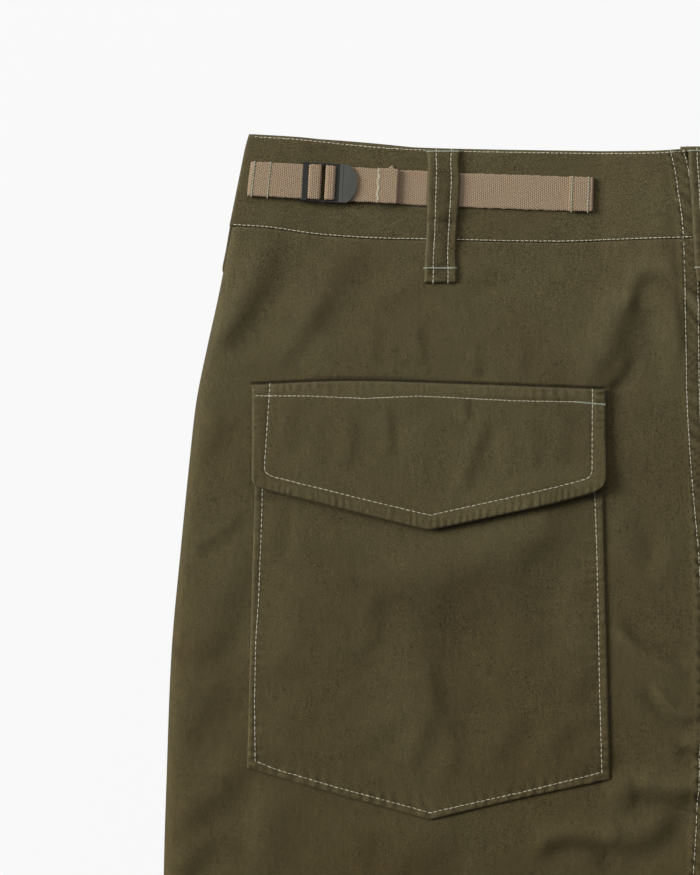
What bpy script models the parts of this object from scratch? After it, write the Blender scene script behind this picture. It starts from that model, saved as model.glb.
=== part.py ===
"""Work trousers laid flat on their front, so that the back faces up.

Across runs from the centre back line towards the wearer's right, down runs from the waist
to the hems, and height is measured up from the surface that the trousers lie on. Outward is
across measured away from the centre on either side. Every size is in millimetres until
point() turns it into metres.
"""

import math
from collections import namedtuple

import bmesh
import bpy
from mathutils import Vector

MM = 0.001

# Driving sizes of the garment.
OUTSEAM = 1050.0
CROTCH = 412.0
CLOTH = 1.2
BAND_CLOTH = 1.6
SEAM_GAP = 0.3
PATCH_GAP = 0.4

# How the two layers lie on each other.
BODY_LOFT = 1.8
BAND_LOFT = 0.5
LOFT_REACH = 30.0
WAIST_LOFT_SHARE = 0.3
EDGE_INSET = 2.0
RIM_HEIGHT = 0.1

# Felled seat seam, hems and the fly.
FELL_WIDTH = 9.5
FELL_STEP = 1.1
FELL_RISE = 0.8
HEM_DEPTH = 22.0
HEM_RISE = 0.7
FLY_HALF_WIDTH = 20.0
FLY_FOOT = 215.0
FLY_CLOTH = 1.0
FRONT_WAIST_DIP = 15.0
BAND_HEIGHT = 47.5
LEFT_LAP_END = 14.0
RIGHT_LAP_END = 18.0

# What is sewn on the front, and so lies between it and the surface.
SIDE_LOOP_WIDTH = 16.0
SIDE_LOOP_HEAD = 6.0
SIDE_LOOP_FOOT = 74.6
SIDE_LOOP_CLOTH = 1.3
SIDE_LOOP_LIFT = 1.7
BUTTON_RADIUS = 8.5
BUTTON_THICK = 2.0
BUTTON_PROFILE = (
    (0.0, 1.4),
    (5.5, 1.4),
    (6.2, BUTTON_THICK),
    (8.0, BUTTON_THICK),
    (BUTTON_RADIUS, BUTTON_THICK - 0.6),
    (BUTTON_RADIUS, 0.6),
    (8.0, 0.0),
    (0.0, 0.0),
)
BUTTON_LIFT = 2.3
BUTTON_DOWN = 44.0
RIGHT_LAP_LIFT = 4.2
LEFT_LAP_FOOT = 46.0
RIGHT_LAP_FOOT = 50.0
LAP_STEP = 3.0
LAP_FULL_TO = 74.0
LAP_GONE_AT = 112.0
BAND_BULGE = 4.6
BODY_BULGE = 5.0
BULGE_FULL_TO = 24.0
BULGE_GONE_AT = 57.0
BULGE_LEVEL_TO = 76.0
BULGE_FOOT = 130.0
LOOP_RAMP_START = 3.5
LOOP_RAMP = 8.5
LOOP_FADE_START = 4.0
LOOP_FADE = 26.0

# Belt loops on the back.
LOOP_CLOTH = 1.5
LOOP_WIDTH = 16.5

# Webbing, and the ladder buckle that it threads.
WEB_THICK = 1.3
WEB_WIDTH = 18.8
WEB_BEND = 0.75
BUCKLE_OUTWARD = 218.4
RAIL_WIDTH = 0.9
BAR_BEVEL = 0.35
TAB_REACH = 29.8
TAB_STRAIGHT = 4.0
TAB_TAPER = 1.4
TAB_INSET = 0.2

# Two-column tables: down, then outward.
SIDE_EDGE = (
    (0.0, 244.3),
    (13.0, 248.6),
    (28.6, 251.9),
    (48.6, 255.9),
    (63.8, 259.0),
    (89.7, 264.3),
    (116.8, 270.3),
    (143.8, 275.7),
    (170.8, 278.9),
    (224.9, 284.3),
    (278.9, 289.2),
    (346.5, 291.9),
    (412.0, 293.6),
    (520.0, 292.5),
    (650.0, 288.0),
    (800.0, 283.0),
    (930.0, 280.0),
    (1050.0, 278.0),
)
INSEAM = (
    (412.0, 0.4),
    (430.0, 5.5),
    (470.0, 14.0),
    (520.0, 21.0),
    (600.0, 29.0),
    (720.0, 35.0),
    (880.0, 39.0),
    (1050.0, 42.0),
)
SIDE_LOOP_EDGE = (
    (6.0, 245.0),
    (25.0, 251.4),
    (46.5, 256.9),
    (63.0, 259.9),
    (72.4, 261.7),
    (74.6, 261.4),
)
POCKET_OUTER = ((143.0, 243.0), (188.6, 243.8), (262.7, 245.9), (342.4, 248.0))
POCKET_INNER = ((143.0, 56.2), (191.9, 55.9), (273.5, 53.9), (348.4, 51.9))

# Two-column table: down, then across, of the edge that laps over at the seat seam.
SEAT_SEAM = (
    (9.0, -11.4),
    (20.0, -8.9),
    (33.5, -7.0),
    (47.6, -5.1),
    (73.5, -3.8),
    (124.0, -1.6),
    (187.6, 1.1),
    (230.0, 3.6),
    (300.0, 4.5),
    (360.0, 3.0),
    (412.0, 0.0),
)

# Two-column tables: outward, then down.
WAIST_EDGE = (
    (0.0, 7.0),
    (16.8, 8.6),
    (30.3, 9.2),
    (84.3, 8.6),
    (138.4, 7.6),
    (165.4, 6.5),
    (192.4, 4.3),
    (219.5, 1.6),
    (244.3, 0.0),
)
WAIST_SEAM = (
    (0.0, 56.6),
    (46.5, 57.7),
    (82.2, 58.7),
    (152.4, 57.4),
    (177.8, 56.9),
    (210.3, 54.7),
    (235.7, 51.2),
    (255.7, 49.8),
)
WEB_RUN = ((61.0, 32.8), (133.0, 30.3), (165.0, 28.7), (247.0, 24.4))

# Two-column tables: share of the width from the outer edge, then down.
POCKET_FOOT = ((0.0, 342.4), (0.242, 356.2), (0.504, 370.1), (0.759, 358.4), (1.0, 348.4))
FLAP_HEAD = ((0.0, 135.7), (0.278, 133.7), (0.617, 135.5), (0.776, 136.6), (1.0, 138.2))
FLAP_FOOT = (
    (0.0, 187.0),
    (0.032, 191.7),
    (0.204, 200.0),
    (0.317, 205.4),
    (0.462, 212.3),
    (0.502, 213.8),
    (0.545, 212.2),
    (0.697, 206.0),
    (0.855, 199.5),
    (0.967, 193.8),
    (1.0, 186.0),
)
POCKET_HEAD_DOWN = 143.0
FLAP_OUTER = 245.2
FLAP_INNER = 54.6
FLAP_CLOTH = 2.0
FLAP_SHOULDER = 4.5
FLAP_CURL = 1.6
FLAP_CURL_REACH = 20.0
POCKET_COLUMNS = (0.0, 0.007, 0.08, 0.16, 0.25, 0.335, 0.42, 0.504)
POCKET_COLUMNS += (0.59, 0.675, 0.76, 0.84, 0.92, 0.993, 1.0)
POCKET_ROWS = (0.0, 0.09, 0.18, 0.27, 0.36, 0.45, 0.54, 0.63, 0.72, 0.81, 0.9, 0.993, 1.0)
FLAP_COLUMNS = (0.0, 0.008, 0.032, 0.12, 0.204, 0.317, 0.41, 0.502)
FLAP_COLUMNS += (0.6, 0.697, 0.776, 0.855, 0.92, 0.967, 0.992, 1.0)
FLAP_ROWS = (0.0, 0.0, 0.3, 0.52, 0.72, 0.88, 0.985, 1.0)
PATCH_EDGE = 0.6

# The largest folds. Each is a soft ridge, or a trough where the height is below zero.
Fold = namedtuple("Fold", "across down to_across to_down reach height")
FOLDS = (
    Fold(-29.8, 74.0, -46.0, 106.0, 9.0, -0.9),
    Fold(-46.0, 106.0, -56.8, 141.0, 10.0, -0.9),
    Fold(-29.8, 74.0, -15.0, 98.0, 9.0, -0.5),
    Fold(-26.0, 96.0, -40.0, 152.0, 14.0, 0.8),
    Fold(-52.0, 76.0, -72.0, 122.0, 14.0, 0.7),
    Fold(-247.6, 60.0, -258.0, 117.0, 13.0, -0.9),
    Fold(-183.8, 63.0, -229.8, 122.0, 17.0, -0.8),
    Fold(-214.0, 62.0, -243.0, 112.0, 15.0, 0.7),
    Fold(-194.0, 241.0, -86.0, 241.0, 26.0, -0.5),
    Fold(-148.7, 252.0, -147.0, 333.0, 26.0, -0.5),
    Fold(-51.4, 262.0, -24.4, 290.0, 13.0, -0.7),
    Fold(-38.0, 356.0, -4.0, 358.0, 12.0, -0.8),
    Fold(-92.0, 384.0, -24.0, 386.0, 16.0, -0.8),
    Fold(-60.0, 400.0, -14.0, 372.0, 14.0, 0.8),
    Fold(-268.0, 320.0, -240.0, 390.0, 20.0, -0.7),
    Fold(-40.0, 430.0, -130.0, 452.0, 16.0, 0.9),
    Fold(-60.0, 480.0, -170.0, 505.0, 20.0, -0.7),
    Fold(-268.0, 590.0, -150.0, 640.0, 24.0, 0.8),
    Fold(-50.0, 700.0, -160.0, 672.0, 22.0, -0.7),
    Fold(-250.0, 780.0, -120.0, 730.0, 26.0, 0.7),
    Fold(-150.0, 860.0, -160.0, 1010.0, 30.0, -0.6),
    Fold(24.0, 84.0, 44.0, 150.0, 11.0, -0.8),
    Fold(48.0, 78.0, 66.0, 120.0, 14.0, 0.8),
    Fold(246.0, 64.0, 258.0, 124.0, 13.0, -0.8),
    Fold(176.0, 66.0, 220.0, 118.0, 17.0, -0.7),
    Fold(208.0, 66.0, 236.0, 120.0, 15.0, 0.7),
    Fold(92.0, 236.0, 188.0, 250.0, 26.0, -0.5),
    Fold(142.0, 258.0, 150.0, 330.0, 26.0, -0.5),
    Fold(22.0, 300.0, 52.0, 270.0, 13.0, -0.7),
    Fold(18.0, 380.0, 96.0, 392.0, 16.0, -0.8),
    Fold(16.0, 408.0, 70.0, 424.0, 14.0, 0.8),
    Fold(266.0, 330.0, 246.0, 400.0, 20.0, -0.7),
    Fold(50.0, 470.0, 160.0, 494.0, 20.0, -0.7),
    Fold(262.0, 610.0, 140.0, 646.0, 24.0, 0.8),
    Fold(54.0, 716.0, 170.0, 676.0, 22.0, -0.7),
    Fold(244.0, 800.0, 130.0, 744.0, 26.0, 0.7),
    Fold(156.0, 880.0, 164.0, 1016.0, 30.0, -0.6),
)

# One column of a cloth edge: how far in its top and its underside lie, and how high.
Edge = namedtuple("Edge", "top_in top_share under_in under_share")
ROLLED = (
    Edge(0.0, 0.0, 1.1, 0.0),
    Edge(0.0, 0.5, 1.2, 0.9),
    Edge(1.0, 0.82, 2.2, 1.0),
    Edge(3.2, 0.95, 3.6, 1.0),
    Edge(10.0, 1.0, 10.0, 1.0),
    Edge(18.0, 1.0, 18.0, 1.0),
    Edge(28.0, 1.0, 28.0, 1.0),
)
FELLED = (
    Edge(0.0, 0.9, 0.0, 1.0),
    Edge(0.6, 1.0, 0.6, 1.0),
    Edge(5.0, 1.0, 5.0, 1.0),
    Edge(FELL_WIDTH, 1.0, FELL_WIDTH, 1.0),
    Edge(FELL_WIDTH + FELL_STEP, 1.0, FELL_WIDTH + FELL_STEP, 1.0),
    Edge(18.0, 1.0, 18.0, 1.0),
    Edge(28.0, 1.0, 28.0, 1.0),
)
MIDDLE_COLUMNS = 7
FRONT_FIRST = 17.0
FRONT_STEP = 33.0
NEAR_LOOP = 10.0
FLY_ROWS = (72.5, 76.0, 92.0, 112.0, 150.0, 190.0, FLY_FOOT)

# Rows of the waistband: how far down it, and how full its edge is there. Then its columns.
BAND_ROWS = ((0.0, 0.6), (0.03, 1.0), (0.25, 1.0), (0.5, 1.0), (0.75, 1.0), (0.985, 1.0), (1.0, 0.85))
BAND_FELL = (0.0, 0.6, FELL_WIDTH, FELL_WIDTH + FELL_STEP)
BAND_COLUMNS = (24.0, 57.0, 90.0, 125.0, 160.0, 190.0)
BAND_SIDE_STEPS = (28.0, 18.0, 8.0, 1.2, 0.0)
BAND_FRONT_ROWS = (0.0, 0.33, 0.67, 1.0)

# Rows of the body, as stretches down the garment.
Stretch = namedtuple("Stretch", "start end rows")
BODY_ROWS = (
    Stretch(0.3, 22.0, 3),
    Stretch(29.0, 84.0, 4),
    Stretch(100.0, 334.0, 15),
    Stretch(342.0, 374.0, 4),
    Stretch(390.0, 480.0, 4),
    Stretch(520.0, 900.0, 7),
    Stretch(968.3, 970.0, 2),
    Stretch(991.3, 992.3, 2),
)
WAIST_SEAM_LEVEL = 57.7
SIDE_OUTWARD = 256.0


def share(value, none, full):
    """0 at none, 1 at full, straight between them and level outside them."""
    return min(max((value - none) / (full - none), 0.0), 1.0)


def eased(value):
    """The same share, with soft ends."""
    return value * value * (3.0 - 2.0 * value)


def mix(first, second, amount):
    return first + (second - first) * amount


def read(table, at):
    """The second column beside a value of the first, on a smooth curve through the rows."""
    if at <= table[0][0]:
        return table[0][1]
    if at >= table[-1][0]:
        return table[-1][1]
    after = next(index for index, row in enumerate(table) if row[0] > at)
    (low, low_value), (high, high_value) = table[after - 1], table[after]
    before_low = table[max(after - 2, 0)]
    past_high = table[min(after + 1, len(table) - 1)]
    step = high - low
    low_slope = (high_value - before_low[1]) / (high - before_low[0]) * step
    high_slope = (past_high[1] - low_value) / (past_high[0] - low) * step
    t = (at - low) / step
    bend = (low_slope + high_slope - 2.0 * (high_value - low_value)) * t
    rise = 3.0 * (high_value - low_value) - 2.0 * low_slope - high_slope
    return low_value + t * (low_slope + t * (rise + bend))


def straight(table, at):
    """The second column beside a value of the first, on straight lines through the rows."""
    for (low, low_value), (high, high_value) in zip(table, table[1:]):
        if at <= high:
            return mix(low_value, high_value, share(at, low, high))
    return table[-1][1]


def point(across, down, height):
    """A place on the garment as a vector in metres."""
    return Vector((across, OUTSEAM / 2.0 - down, height)) * MM


# How high each layer lies.


def side_lift(outward, down):
    """How far a belt loop under the side edge holds the cloth up."""
    from_edge = read(SIDE_EDGE, down) - outward
    inner = SIDE_LOOP_WIDTH + LOOP_RAMP_START
    along = share(down, SIDE_LOOP_FOOT + LOOP_FADE, SIDE_LOOP_FOOT + LOOP_FADE_START)
    return SIDE_LOOP_LIFT * share(from_edge, inner + LOOP_RAMP, inner) * along


def front_lift(side, across, down):
    """Height of the front cloth's outer face above the surface."""
    along = share(down, LAP_GONE_AT, LAP_FULL_TO)
    if side < 0:
        lap = BUTTON_LIFT * share(across, -LEFT_LAP_FOOT, -LEFT_LAP_END)
    else:
        lap = RIGHT_LAP_LIFT * share(across, RIGHT_LAP_FOOT, LEFT_LAP_END + LAP_STEP)
    return side_lift(side * across, down) + lap * along


def centre_bulge(across, down, height):
    """The back riding over the lapped closure of the front."""
    level = share(abs(across), BULGE_GONE_AT, BULGE_FULL_TO)
    return height * level * share(down, BULGE_FOOT, BULGE_LEVEL_TO)


def inner_limit(side, down):
    """Outward place of a back half's inner edge: the seat seam, then the inseam."""
    if down > CROTCH:
        return read(INSEAM, down)
    seam = read(SEAT_SEAM, down)
    return -seam if side < 0 else seam + SEAM_GAP


def fold_height(across, down):
    """All folds together at one place."""
    total = 0.0
    for fold in FOLDS:
        run = (fold.to_across - fold.across, fold.to_down - fold.down)
        away = (across - fold.across, down - fold.down)
        length_squared = run[0] ** 2 + run[1] ** 2
        along = (away[0] * run[0] + away[1] * run[1]) / length_squared
        nearest = min(max(along, 0.0), 1.0)
        gap = math.hypot(away[0] - run[0] * nearest, away[1] - run[1] * nearest)
        taper = 1.0 - 0.5 * abs(2.0 * nearest - 1.0)
        total += fold.height * taper * math.exp(-((gap / fold.reach) ** 2))
    return total


def body_under(side, across, down):
    """Height of the back cloth's inner face."""
    outward = side * across
    from_side = read(SIDE_EDGE, down) - outward
    below_crotch = share(down, CROTCH - 12.0, CROTCH + 13.0)
    from_inner = outward - inner_limit(side, down) + LOFT_REACH * (1.0 - below_crotch)
    edge = eased(share(min(from_side, from_inner), 0.0, LOFT_REACH))
    along = mix(WAIST_LOFT_SHARE, 1.0, eased(share(down, 50.0, 120.0)))
    rest = CLOTH + SEAM_GAP + side_lift(outward, down)
    loft = (BODY_LOFT + fold_height(across, down)) * edge * along
    return rest + max(loft, 0.0) + centre_bulge(across, down, BODY_BULGE)


def fell_rise(side, outward, down):
    """The extra cloth of the felled seat seam, which lies on the left half."""
    if side > 0:
        return 0.0
    from_seam = outward - inner_limit(side, down)
    above_crotch = share(down, CROTCH + 10.0, CROTCH - 10.0)
    return FELL_RISE * share(from_seam, FELL_WIDTH + FELL_STEP, FELL_WIDTH) * above_crotch


def body_top(side, across, down):
    """Height of the back cloth's outer face."""
    hem = HEM_RISE * share(down, OUTSEAM - HEM_DEPTH - 0.8, OUTSEAM - HEM_DEPTH + 0.8)
    return body_under(side, across, down) + CLOTH + fell_rise(side, side * across, down) + hem


def band_under(side, across, down):
    """Height of the back waistband's inner face."""
    outward = side * across
    from_side = read(SIDE_EDGE, down) - outward
    loft = BAND_LOFT * eased(share(from_side, 0.0, LOFT_REACH))
    lift = side_lift(outward, down) + centre_bulge(across, down, BAND_BULGE)
    return BAND_CLOTH + SEAM_GAP + loft + lift


def band_top(side, across, down):
    rise = fell_rise(side, side * across, down)
    return band_under(side, across, down) + BAND_CLOTH + rise


def back_top(side, across, down):
    """The highest cloth of the back, waistband or body, at one place."""
    if down < read(WAIST_SEAM, abs(across)) + SEAM_GAP:
        return band_top(side, across, down)
    return body_top(side, across, down)


# Building blocks.


def material(name, colour, roughness):
    made = bpy.data.materials.new(name)
    made.use_nodes = True
    shader = made.node_tree.nodes["Principled BSDF"]
    shader.inputs["Base Color"].default_value = (*colour, 1.0)
    shader.inputs["Roughness"].default_value = roughness
    shader.inputs["Metallic"].default_value = 0.0
    return made


def node_from(name, mesh_builder, finish):
    """A named object from a finished bmesh."""
    bmesh.ops.recalc_face_normals(mesh_builder, faces=mesh_builder.faces)
    mesh = bpy.data.meshes.new(name)
    mesh_builder.to_mesh(mesh)
    mesh_builder.free()
    mesh.shade_smooth()
    mesh.set_sharp_from_angle(angle=math.radians(35.0))
    mesh.materials.append(finish)
    made = bpy.data.objects.new(name, mesh)
    bpy.context.scene.collection.objects.link(made)
    return made


def sheet(name, top_rows, under_rows, finish):
    """A wall of cloth between two grids of places, closed all round its edge."""
    built = bmesh.new()
    top = [[built.verts.new(place) for place in row] for row in top_rows]
    under = [[built.verts.new(place) for place in row] for row in under_rows]
    for grid in (top, under):
        for upper, lower in zip(grid, grid[1:]):
            for column in range(len(upper) - 1):
                built.faces.new((upper[column], upper[column + 1], lower[column + 1], lower[column]))
    rims = (
        (top[0], under[0]),
        (top[-1], under[-1]),
        ([row[0] for row in top], [row[0] for row in under]),
        ([row[-1] for row in top], [row[-1] for row in under]),
    )
    for upper, lower in rims:
        for place in range(len(upper) - 1):
            built.faces.new((upper[place], upper[place + 1], lower[place + 1], lower[place]))
    return node_from(name, built, finish)


def rounded_path(corners, bend, steps=3):
    """The corners of a path joined by straight runs, each corner turned on an arc."""
    places = [Vector(corners[0])]
    for before, corner, after in zip(corners, corners[1:], corners[2:]):
        corner = Vector(corner)
        arriving = (Vector(before) - corner).normalized() * bend
        leaving = (Vector(after) - corner).normalized() * bend
        for step in range(steps + 1):
            amount = step / steps
            pull = math.sin(amount * math.pi / 2.0)
            push = math.cos(amount * math.pi / 2.0)
            places.append(corner + arriving * (1.0 - pull) + leaving * (1.0 - push))
    places.append(Vector(corners[-1]))
    return places


# Cloth of the body.


def body_row_starts():
    """Places down a half, measured from the waist seam."""
    for stretch in BODY_ROWS:
        for step in range(stretch.rows):
            yield mix(stretch.start, stretch.end, step / max(stretch.rows - 1, 1))


def row_down(start, outward):
    """Down of a body row: it follows the waist seam at first and levels out below."""
    seam = read(WAIST_SEAM, outward)
    return start + mix(WAIST_SEAM_LEVEL, seam, share(start, 90.0, SEAM_GAP))


def edge_columns(down):
    """Edge columns of a back half at its inner edge: felled above the crotch, rolled below."""
    below = share(down, CROTCH - 4.0, CROTCH + 8.0)
    columns = []
    for felled, rolled in zip(FELLED, ROLLED):
        columns.append(Edge(*(mix(one, other, below) for one, other in zip(felled, rolled))))
    return columns


def rim_height(down):
    """Where the rolled side edge ends: on the belt loop, and close to the surface below it."""
    over_loop = share(down, SIDE_LOOP_FOOT + 14.0, SIDE_LOOP_FOOT + 3.0)
    return mix(RIM_HEIGHT, SIDE_LOOP_CLOTH + 0.35, over_loop)


def body_back(side, name, finish):
    """Half of the back, from the waist seam to the hem, rolled over the front at its edges."""
    top_rows, under_rows = [], []
    for start in body_row_starts():
        level = start + WAIST_SEAM_LEVEL
        side_level = row_down(start, SIDE_OUTWARD)
        inner = inner_limit(side, level)
        outer = read(SIDE_EDGE, side_level)
        columns = []
        for edge in edge_columns(level):
            columns.append((inner + edge.top_in, edge.top_share, inner + edge.under_in, edge.under_share))
        first, last = inner + FELLED[-1].top_in, outer - ROLLED[-1].top_in
        for step in range(1, MIDDLE_COLUMNS):
            place = mix(first, last, step / MIDDLE_COLUMNS)
            columns.append((place, 1.0, place, 1.0))
        for edge in reversed(ROLLED):
            columns.append((outer - edge.top_in, edge.top_share, outer - edge.under_in, edge.under_share))
        top_row, under_row = [], []
        for index, (top_out, top_share, under_out, under_share) in enumerate(columns):
            at_side = index > len(columns) / 2
            rim = rim_height(side_level) if at_side else RIM_HEIGHT
            top_down, under_down = row_down(start, top_out), row_down(start, under_out)
            highest = body_top(side, side * top_out, top_down)
            lowest = body_under(side, side * under_out, under_down)
            top_row.append(point(side * top_out, top_down, mix(rim, highest, top_share)))
            under_row.append(point(side * under_out, under_down, mix(rim, lowest, under_share)))
        top_rows.append(top_row)
        under_rows.append(under_row)
    return sheet(name, top_rows, under_rows, finish)


def front_waist(outward):
    """Down of the front waist edge, which dips at the centre."""
    return mix(FRONT_WAIST_DIP + 6.0, 1.5, eased(share(outward, 0.0, 240.0)))


def side_columns(after, down):
    """Outward places of the front's last columns, from the one past `after` to the edge."""
    outer = read(SIDE_EDGE, down) - EDGE_INSET
    near_side = outer - SIDE_LOOP_WIDTH
    return [mix(after, near_side, 0.5), near_side - NEAR_LOOP, near_side, outer]


def body_front(side, name, finish):
    """Half of the front, flat on the surface but for what is sewn on its outside."""
    top_rows, under_rows = [], []
    for start in body_row_starts():
        level = start + WAIST_SEAM_LEVEL
        inner = read(INSEAM, level) + EDGE_INSET if level > CROTCH + 4.0 else SEAM_GAP / 2.0
        centre = FRONT_FIRST if level < CROTCH else inner + FRONT_FIRST
        places = [inner, centre, centre + FRONT_STEP]
        places += side_columns(centre + FRONT_STEP, row_down(start, SIDE_OUTWARD))
        top_row, under_row = [], []
        for outward in places:
            dip = front_waist(outward) + BAND_HEIGHT - WAIST_SEAM_LEVEL
            down = level + dip * share(start, 90.0, SEAM_GAP)
            lift = front_lift(side, side * outward, down)
            top_row.append(point(side * outward, down, lift + CLOTH))
            under_row.append(point(side * outward, down, lift))
        top_rows.append(top_row)
        under_rows.append(under_row)
    return sheet(name, top_rows, under_rows, finish)


def fly_shield(finish):
    """The strip of cloth behind the front opening, inside the garment."""
    top_rows, under_rows = [], []
    for down in FLY_ROWS:
        top_row, under_row = [], []
        for across in (-FLY_HALF_WIDTH, 0.0, FLY_HALF_WIDTH - LAP_STEP, FLY_HALF_WIDTH):
            lift = RIGHT_LAP_LIFT * share(down, LAP_GONE_AT, LAP_FULL_TO)
            lowest = CLOTH + SEAM_GAP + lift
            top_row.append(point(across, down, lowest + FLY_CLOTH))
            under_row.append(point(across, down, lowest))
        top_rows.append(top_row)
        under_rows.append(under_row)
    return sheet("fly_shield", top_rows, under_rows, finish)


# Waistband.


def band_back(side, name, finish):
    """Half of the back waistband, with its share of the felled seat seam."""
    top_rows, under_rows = [], []
    for along, softness in BAND_ROWS:
        level = mix(8.0, WAIST_SEAM_LEVEL, along)
        inner = inner_limit(side, level)
        places = [inner + step for step in BAND_FELL]
        places += BAND_COLUMNS
        places += [read(SIDE_EDGE, level) - step for step in BAND_SIDE_STEPS]
        top_row, under_row = [], []
        for index, outward in enumerate(places):
            down = mix(read(WAIST_EDGE, outward), read(WAIST_SEAM, outward), along)
            lowest = band_under(side, side * outward, down)
            highest = band_top(side, side * outward, down)
            soft = softness * (PATCH_EDGE if index == len(places) - 1 else 1.0)
            top_row.append(point(side * outward, down, mix(lowest, highest, soft)))
            under_row.append(point(side * outward, down, lowest))
        top_rows.append(top_row)
        under_rows.append(under_row)
    return sheet(name, top_rows, under_rows, finish)


def band_front(side, name, finish):
    """Half of the front waistband. The left end laps over the right one and buttons there."""
    end = -LEFT_LAP_END if side < 0 else -RIGHT_LAP_END
    ramp_top = LEFT_LAP_END if side < 0 else LEFT_LAP_END + LAP_STEP
    ramp_foot = LEFT_LAP_FOOT if side < 0 else RIGHT_LAP_FOOT
    top_rows, under_rows = [], []
    for along in BAND_FRONT_ROWS:
        side_down = mix(2.0, BAND_HEIGHT + 1.5, along)
        places = [end, ramp_top, ramp_foot] + side_columns(RIGHT_LAP_FOOT, side_down)
        top_row, under_row = [], []
        for outward in places:
            down = front_waist(abs(outward)) + BAND_HEIGHT * along
            lift = front_lift(side, side * outward, min(down, LAP_FULL_TO))
            top_row.append(point(side * outward, down, lift + BAND_CLOTH))
            under_row.append(point(side * outward, down, lift))
        top_rows.append(top_row)
        under_rows.append(under_row)
    return sheet(name, top_rows, under_rows, finish)


def waist_button(finish):
    """The flat round button of the closure, its rim a little higher than its middle."""
    built = bmesh.new()
    ring = [built.verts.new(Vector((out, 0.0, height)) * MM) for out, height in BUTTON_PROFILE]
    edges = [built.edges.new(pair) for pair in zip(ring, ring[1:])]
    turn = {"cent": (0.0, 0.0, 0.0), "axis": (0.0, 0.0, 1.0), "angle": 2.0 * math.pi}
    bmesh.ops.spin(built, geom=ring + edges, steps=20, **turn)
    bmesh.ops.remove_doubles(built, verts=built.verts, dist=0.00001)
    made = node_from("waist_button", built, finish)
    made.location = point(0.0, BUTTON_DOWN, 0.0)
    return made


# Pockets, flaps and loops.


def patch(name, side, places, foot_softness, finish):
    """A piece lying on the back. places gives, row by row, outward, down, under and thickness."""
    top_rows, under_rows = [], []
    last = len(places) - 1
    for index, row in enumerate(places):
        top_row, under_row = [], []
        for column, (outward, down, lowest, thickness) in enumerate(row):
            at_edge = column in (0, len(row) - 1) or index == last
            soft = foot_softness if at_edge else 1.0
            top_row.append(point(side * outward, down, lowest + thickness * soft))
            under_row.append(point(side * outward, down, lowest))
        top_rows.append(top_row)
        under_rows.append(under_row)
    return sheet(name, top_rows, under_rows, finish)


def pocket(side, name, finish):
    """Patch pocket with a pointed foot."""
    rows = []
    for along in POCKET_ROWS:
        row = []
        for across_share in POCKET_COLUMNS:
            down = mix(POCKET_HEAD_DOWN, straight(POCKET_FOOT, across_share), along)
            outward = mix(read(POCKET_OUTER, down), read(POCKET_INNER, down), across_share)
            row.append((outward, down, body_top(side, side * outward, down) + PATCH_GAP, CLOTH))
        rows.append(row)
    return patch(name, side, rows, PATCH_EDGE, finish)


def flap(side, name, finish):
    """Pocket flap with cut corners and a pointed foot, standing a little off the pocket there."""
    rows = []
    for row_index, along in enumerate(FLAP_ROWS):
        row = []
        for across_share in FLAP_COLUMNS:
            head = read(FLAP_HEAD, across_share)
            foot = straight(FLAP_FOOT, across_share)
            down = head if row_index == 0 else mix(head + FLAP_SHOULDER, foot, along)
            outward = mix(FLAP_OUTER, FLAP_INNER, across_share)
            on_pocket = 0.0 if row_index == 0 else CLOTH + PATCH_GAP
            curl = FLAP_CURL * eased(share(foot - down, FLAP_CURL_REACH, 0.0))
            lowest = body_top(side, side * outward, down) + PATCH_GAP + on_pocket + curl
            row.append((outward, down, lowest, FLAP_CLOTH))
        rows.append(row)
    return patch(name, side, rows, PATCH_EDGE, finish)


# One station along a belt loop: down, and how far it stands off what is under it.
Station = namedtuple("Station", "down stand_off")
LOOP_OVER_STRAP = (
    Station(8.2, 0.4),
    Station(11.5, 0.4),
    Station(20.0, 2.0),
    Station(42.0, 2.0),
    Station(50.0, 1.2),
    Station(58.4, 0.9),
    Station(66.0, 0.5),
    Station(77.0, 0.4),
    Station(80.5, 0.4),
)
LOOP_ON_BAND = (
    Station(8.4, 0.4),
    Station(12.0, 0.4),
    Station(24.0, 0.7),
    Station(42.0, 0.8),
    Station(58.2, 0.8),
    Station(68.0, 0.5),
    Station(77.0, 0.4),
    Station(80.5, 0.4),
)
Slant = namedtuple("Slant", "head_across foot_across head_width foot_width")
BACK_LOOP = Slant(-141.4, -143.9, 17.0, 16.6)
CENTRE_LOOP = Slant(-2.0, 2.2, LOOP_WIDTH, LOOP_WIDTH - 0.6)


def side_at(across, down):
    return 1 if across > read(SEAT_SEAM, down) else -1


def belt_loop(name, stations, slant, mirror, finish):
    """A folded strip sewn down at both ends."""
    top_rows, under_rows = [], []
    first, last = stations[0].down, stations[-1].down
    for station in stations:
        along = share(station.down, first, last)
        middle = mirror * mix(slant.head_across, slant.foot_across, along)
        half = mix(slant.head_width, slant.foot_width, along) / 2.0
        places = [middle + half * step for step in (-1.0, -0.88, 0.0, 0.88, 1.0)]
        near = [(across, station.down + step) for across in places for step in (-0.5, 0.5)]
        rest = max(back_top(side_at(across, down), across, down) for across, down in near)
        lowest = rest + station.stand_off
        at_end = station.down in (first, last)
        top_row = []
        for index, across in enumerate(places):
            soft = PATCH_EDGE if at_end or index in (0, 4) else 1.0
            top_row.append(point(across, station.down, lowest + LOOP_CLOTH * soft))
        top_rows.append(top_row)
        under_rows.append([point(across, station.down, lowest) for across in places])
    return sheet(name, top_rows, under_rows, finish)


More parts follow.
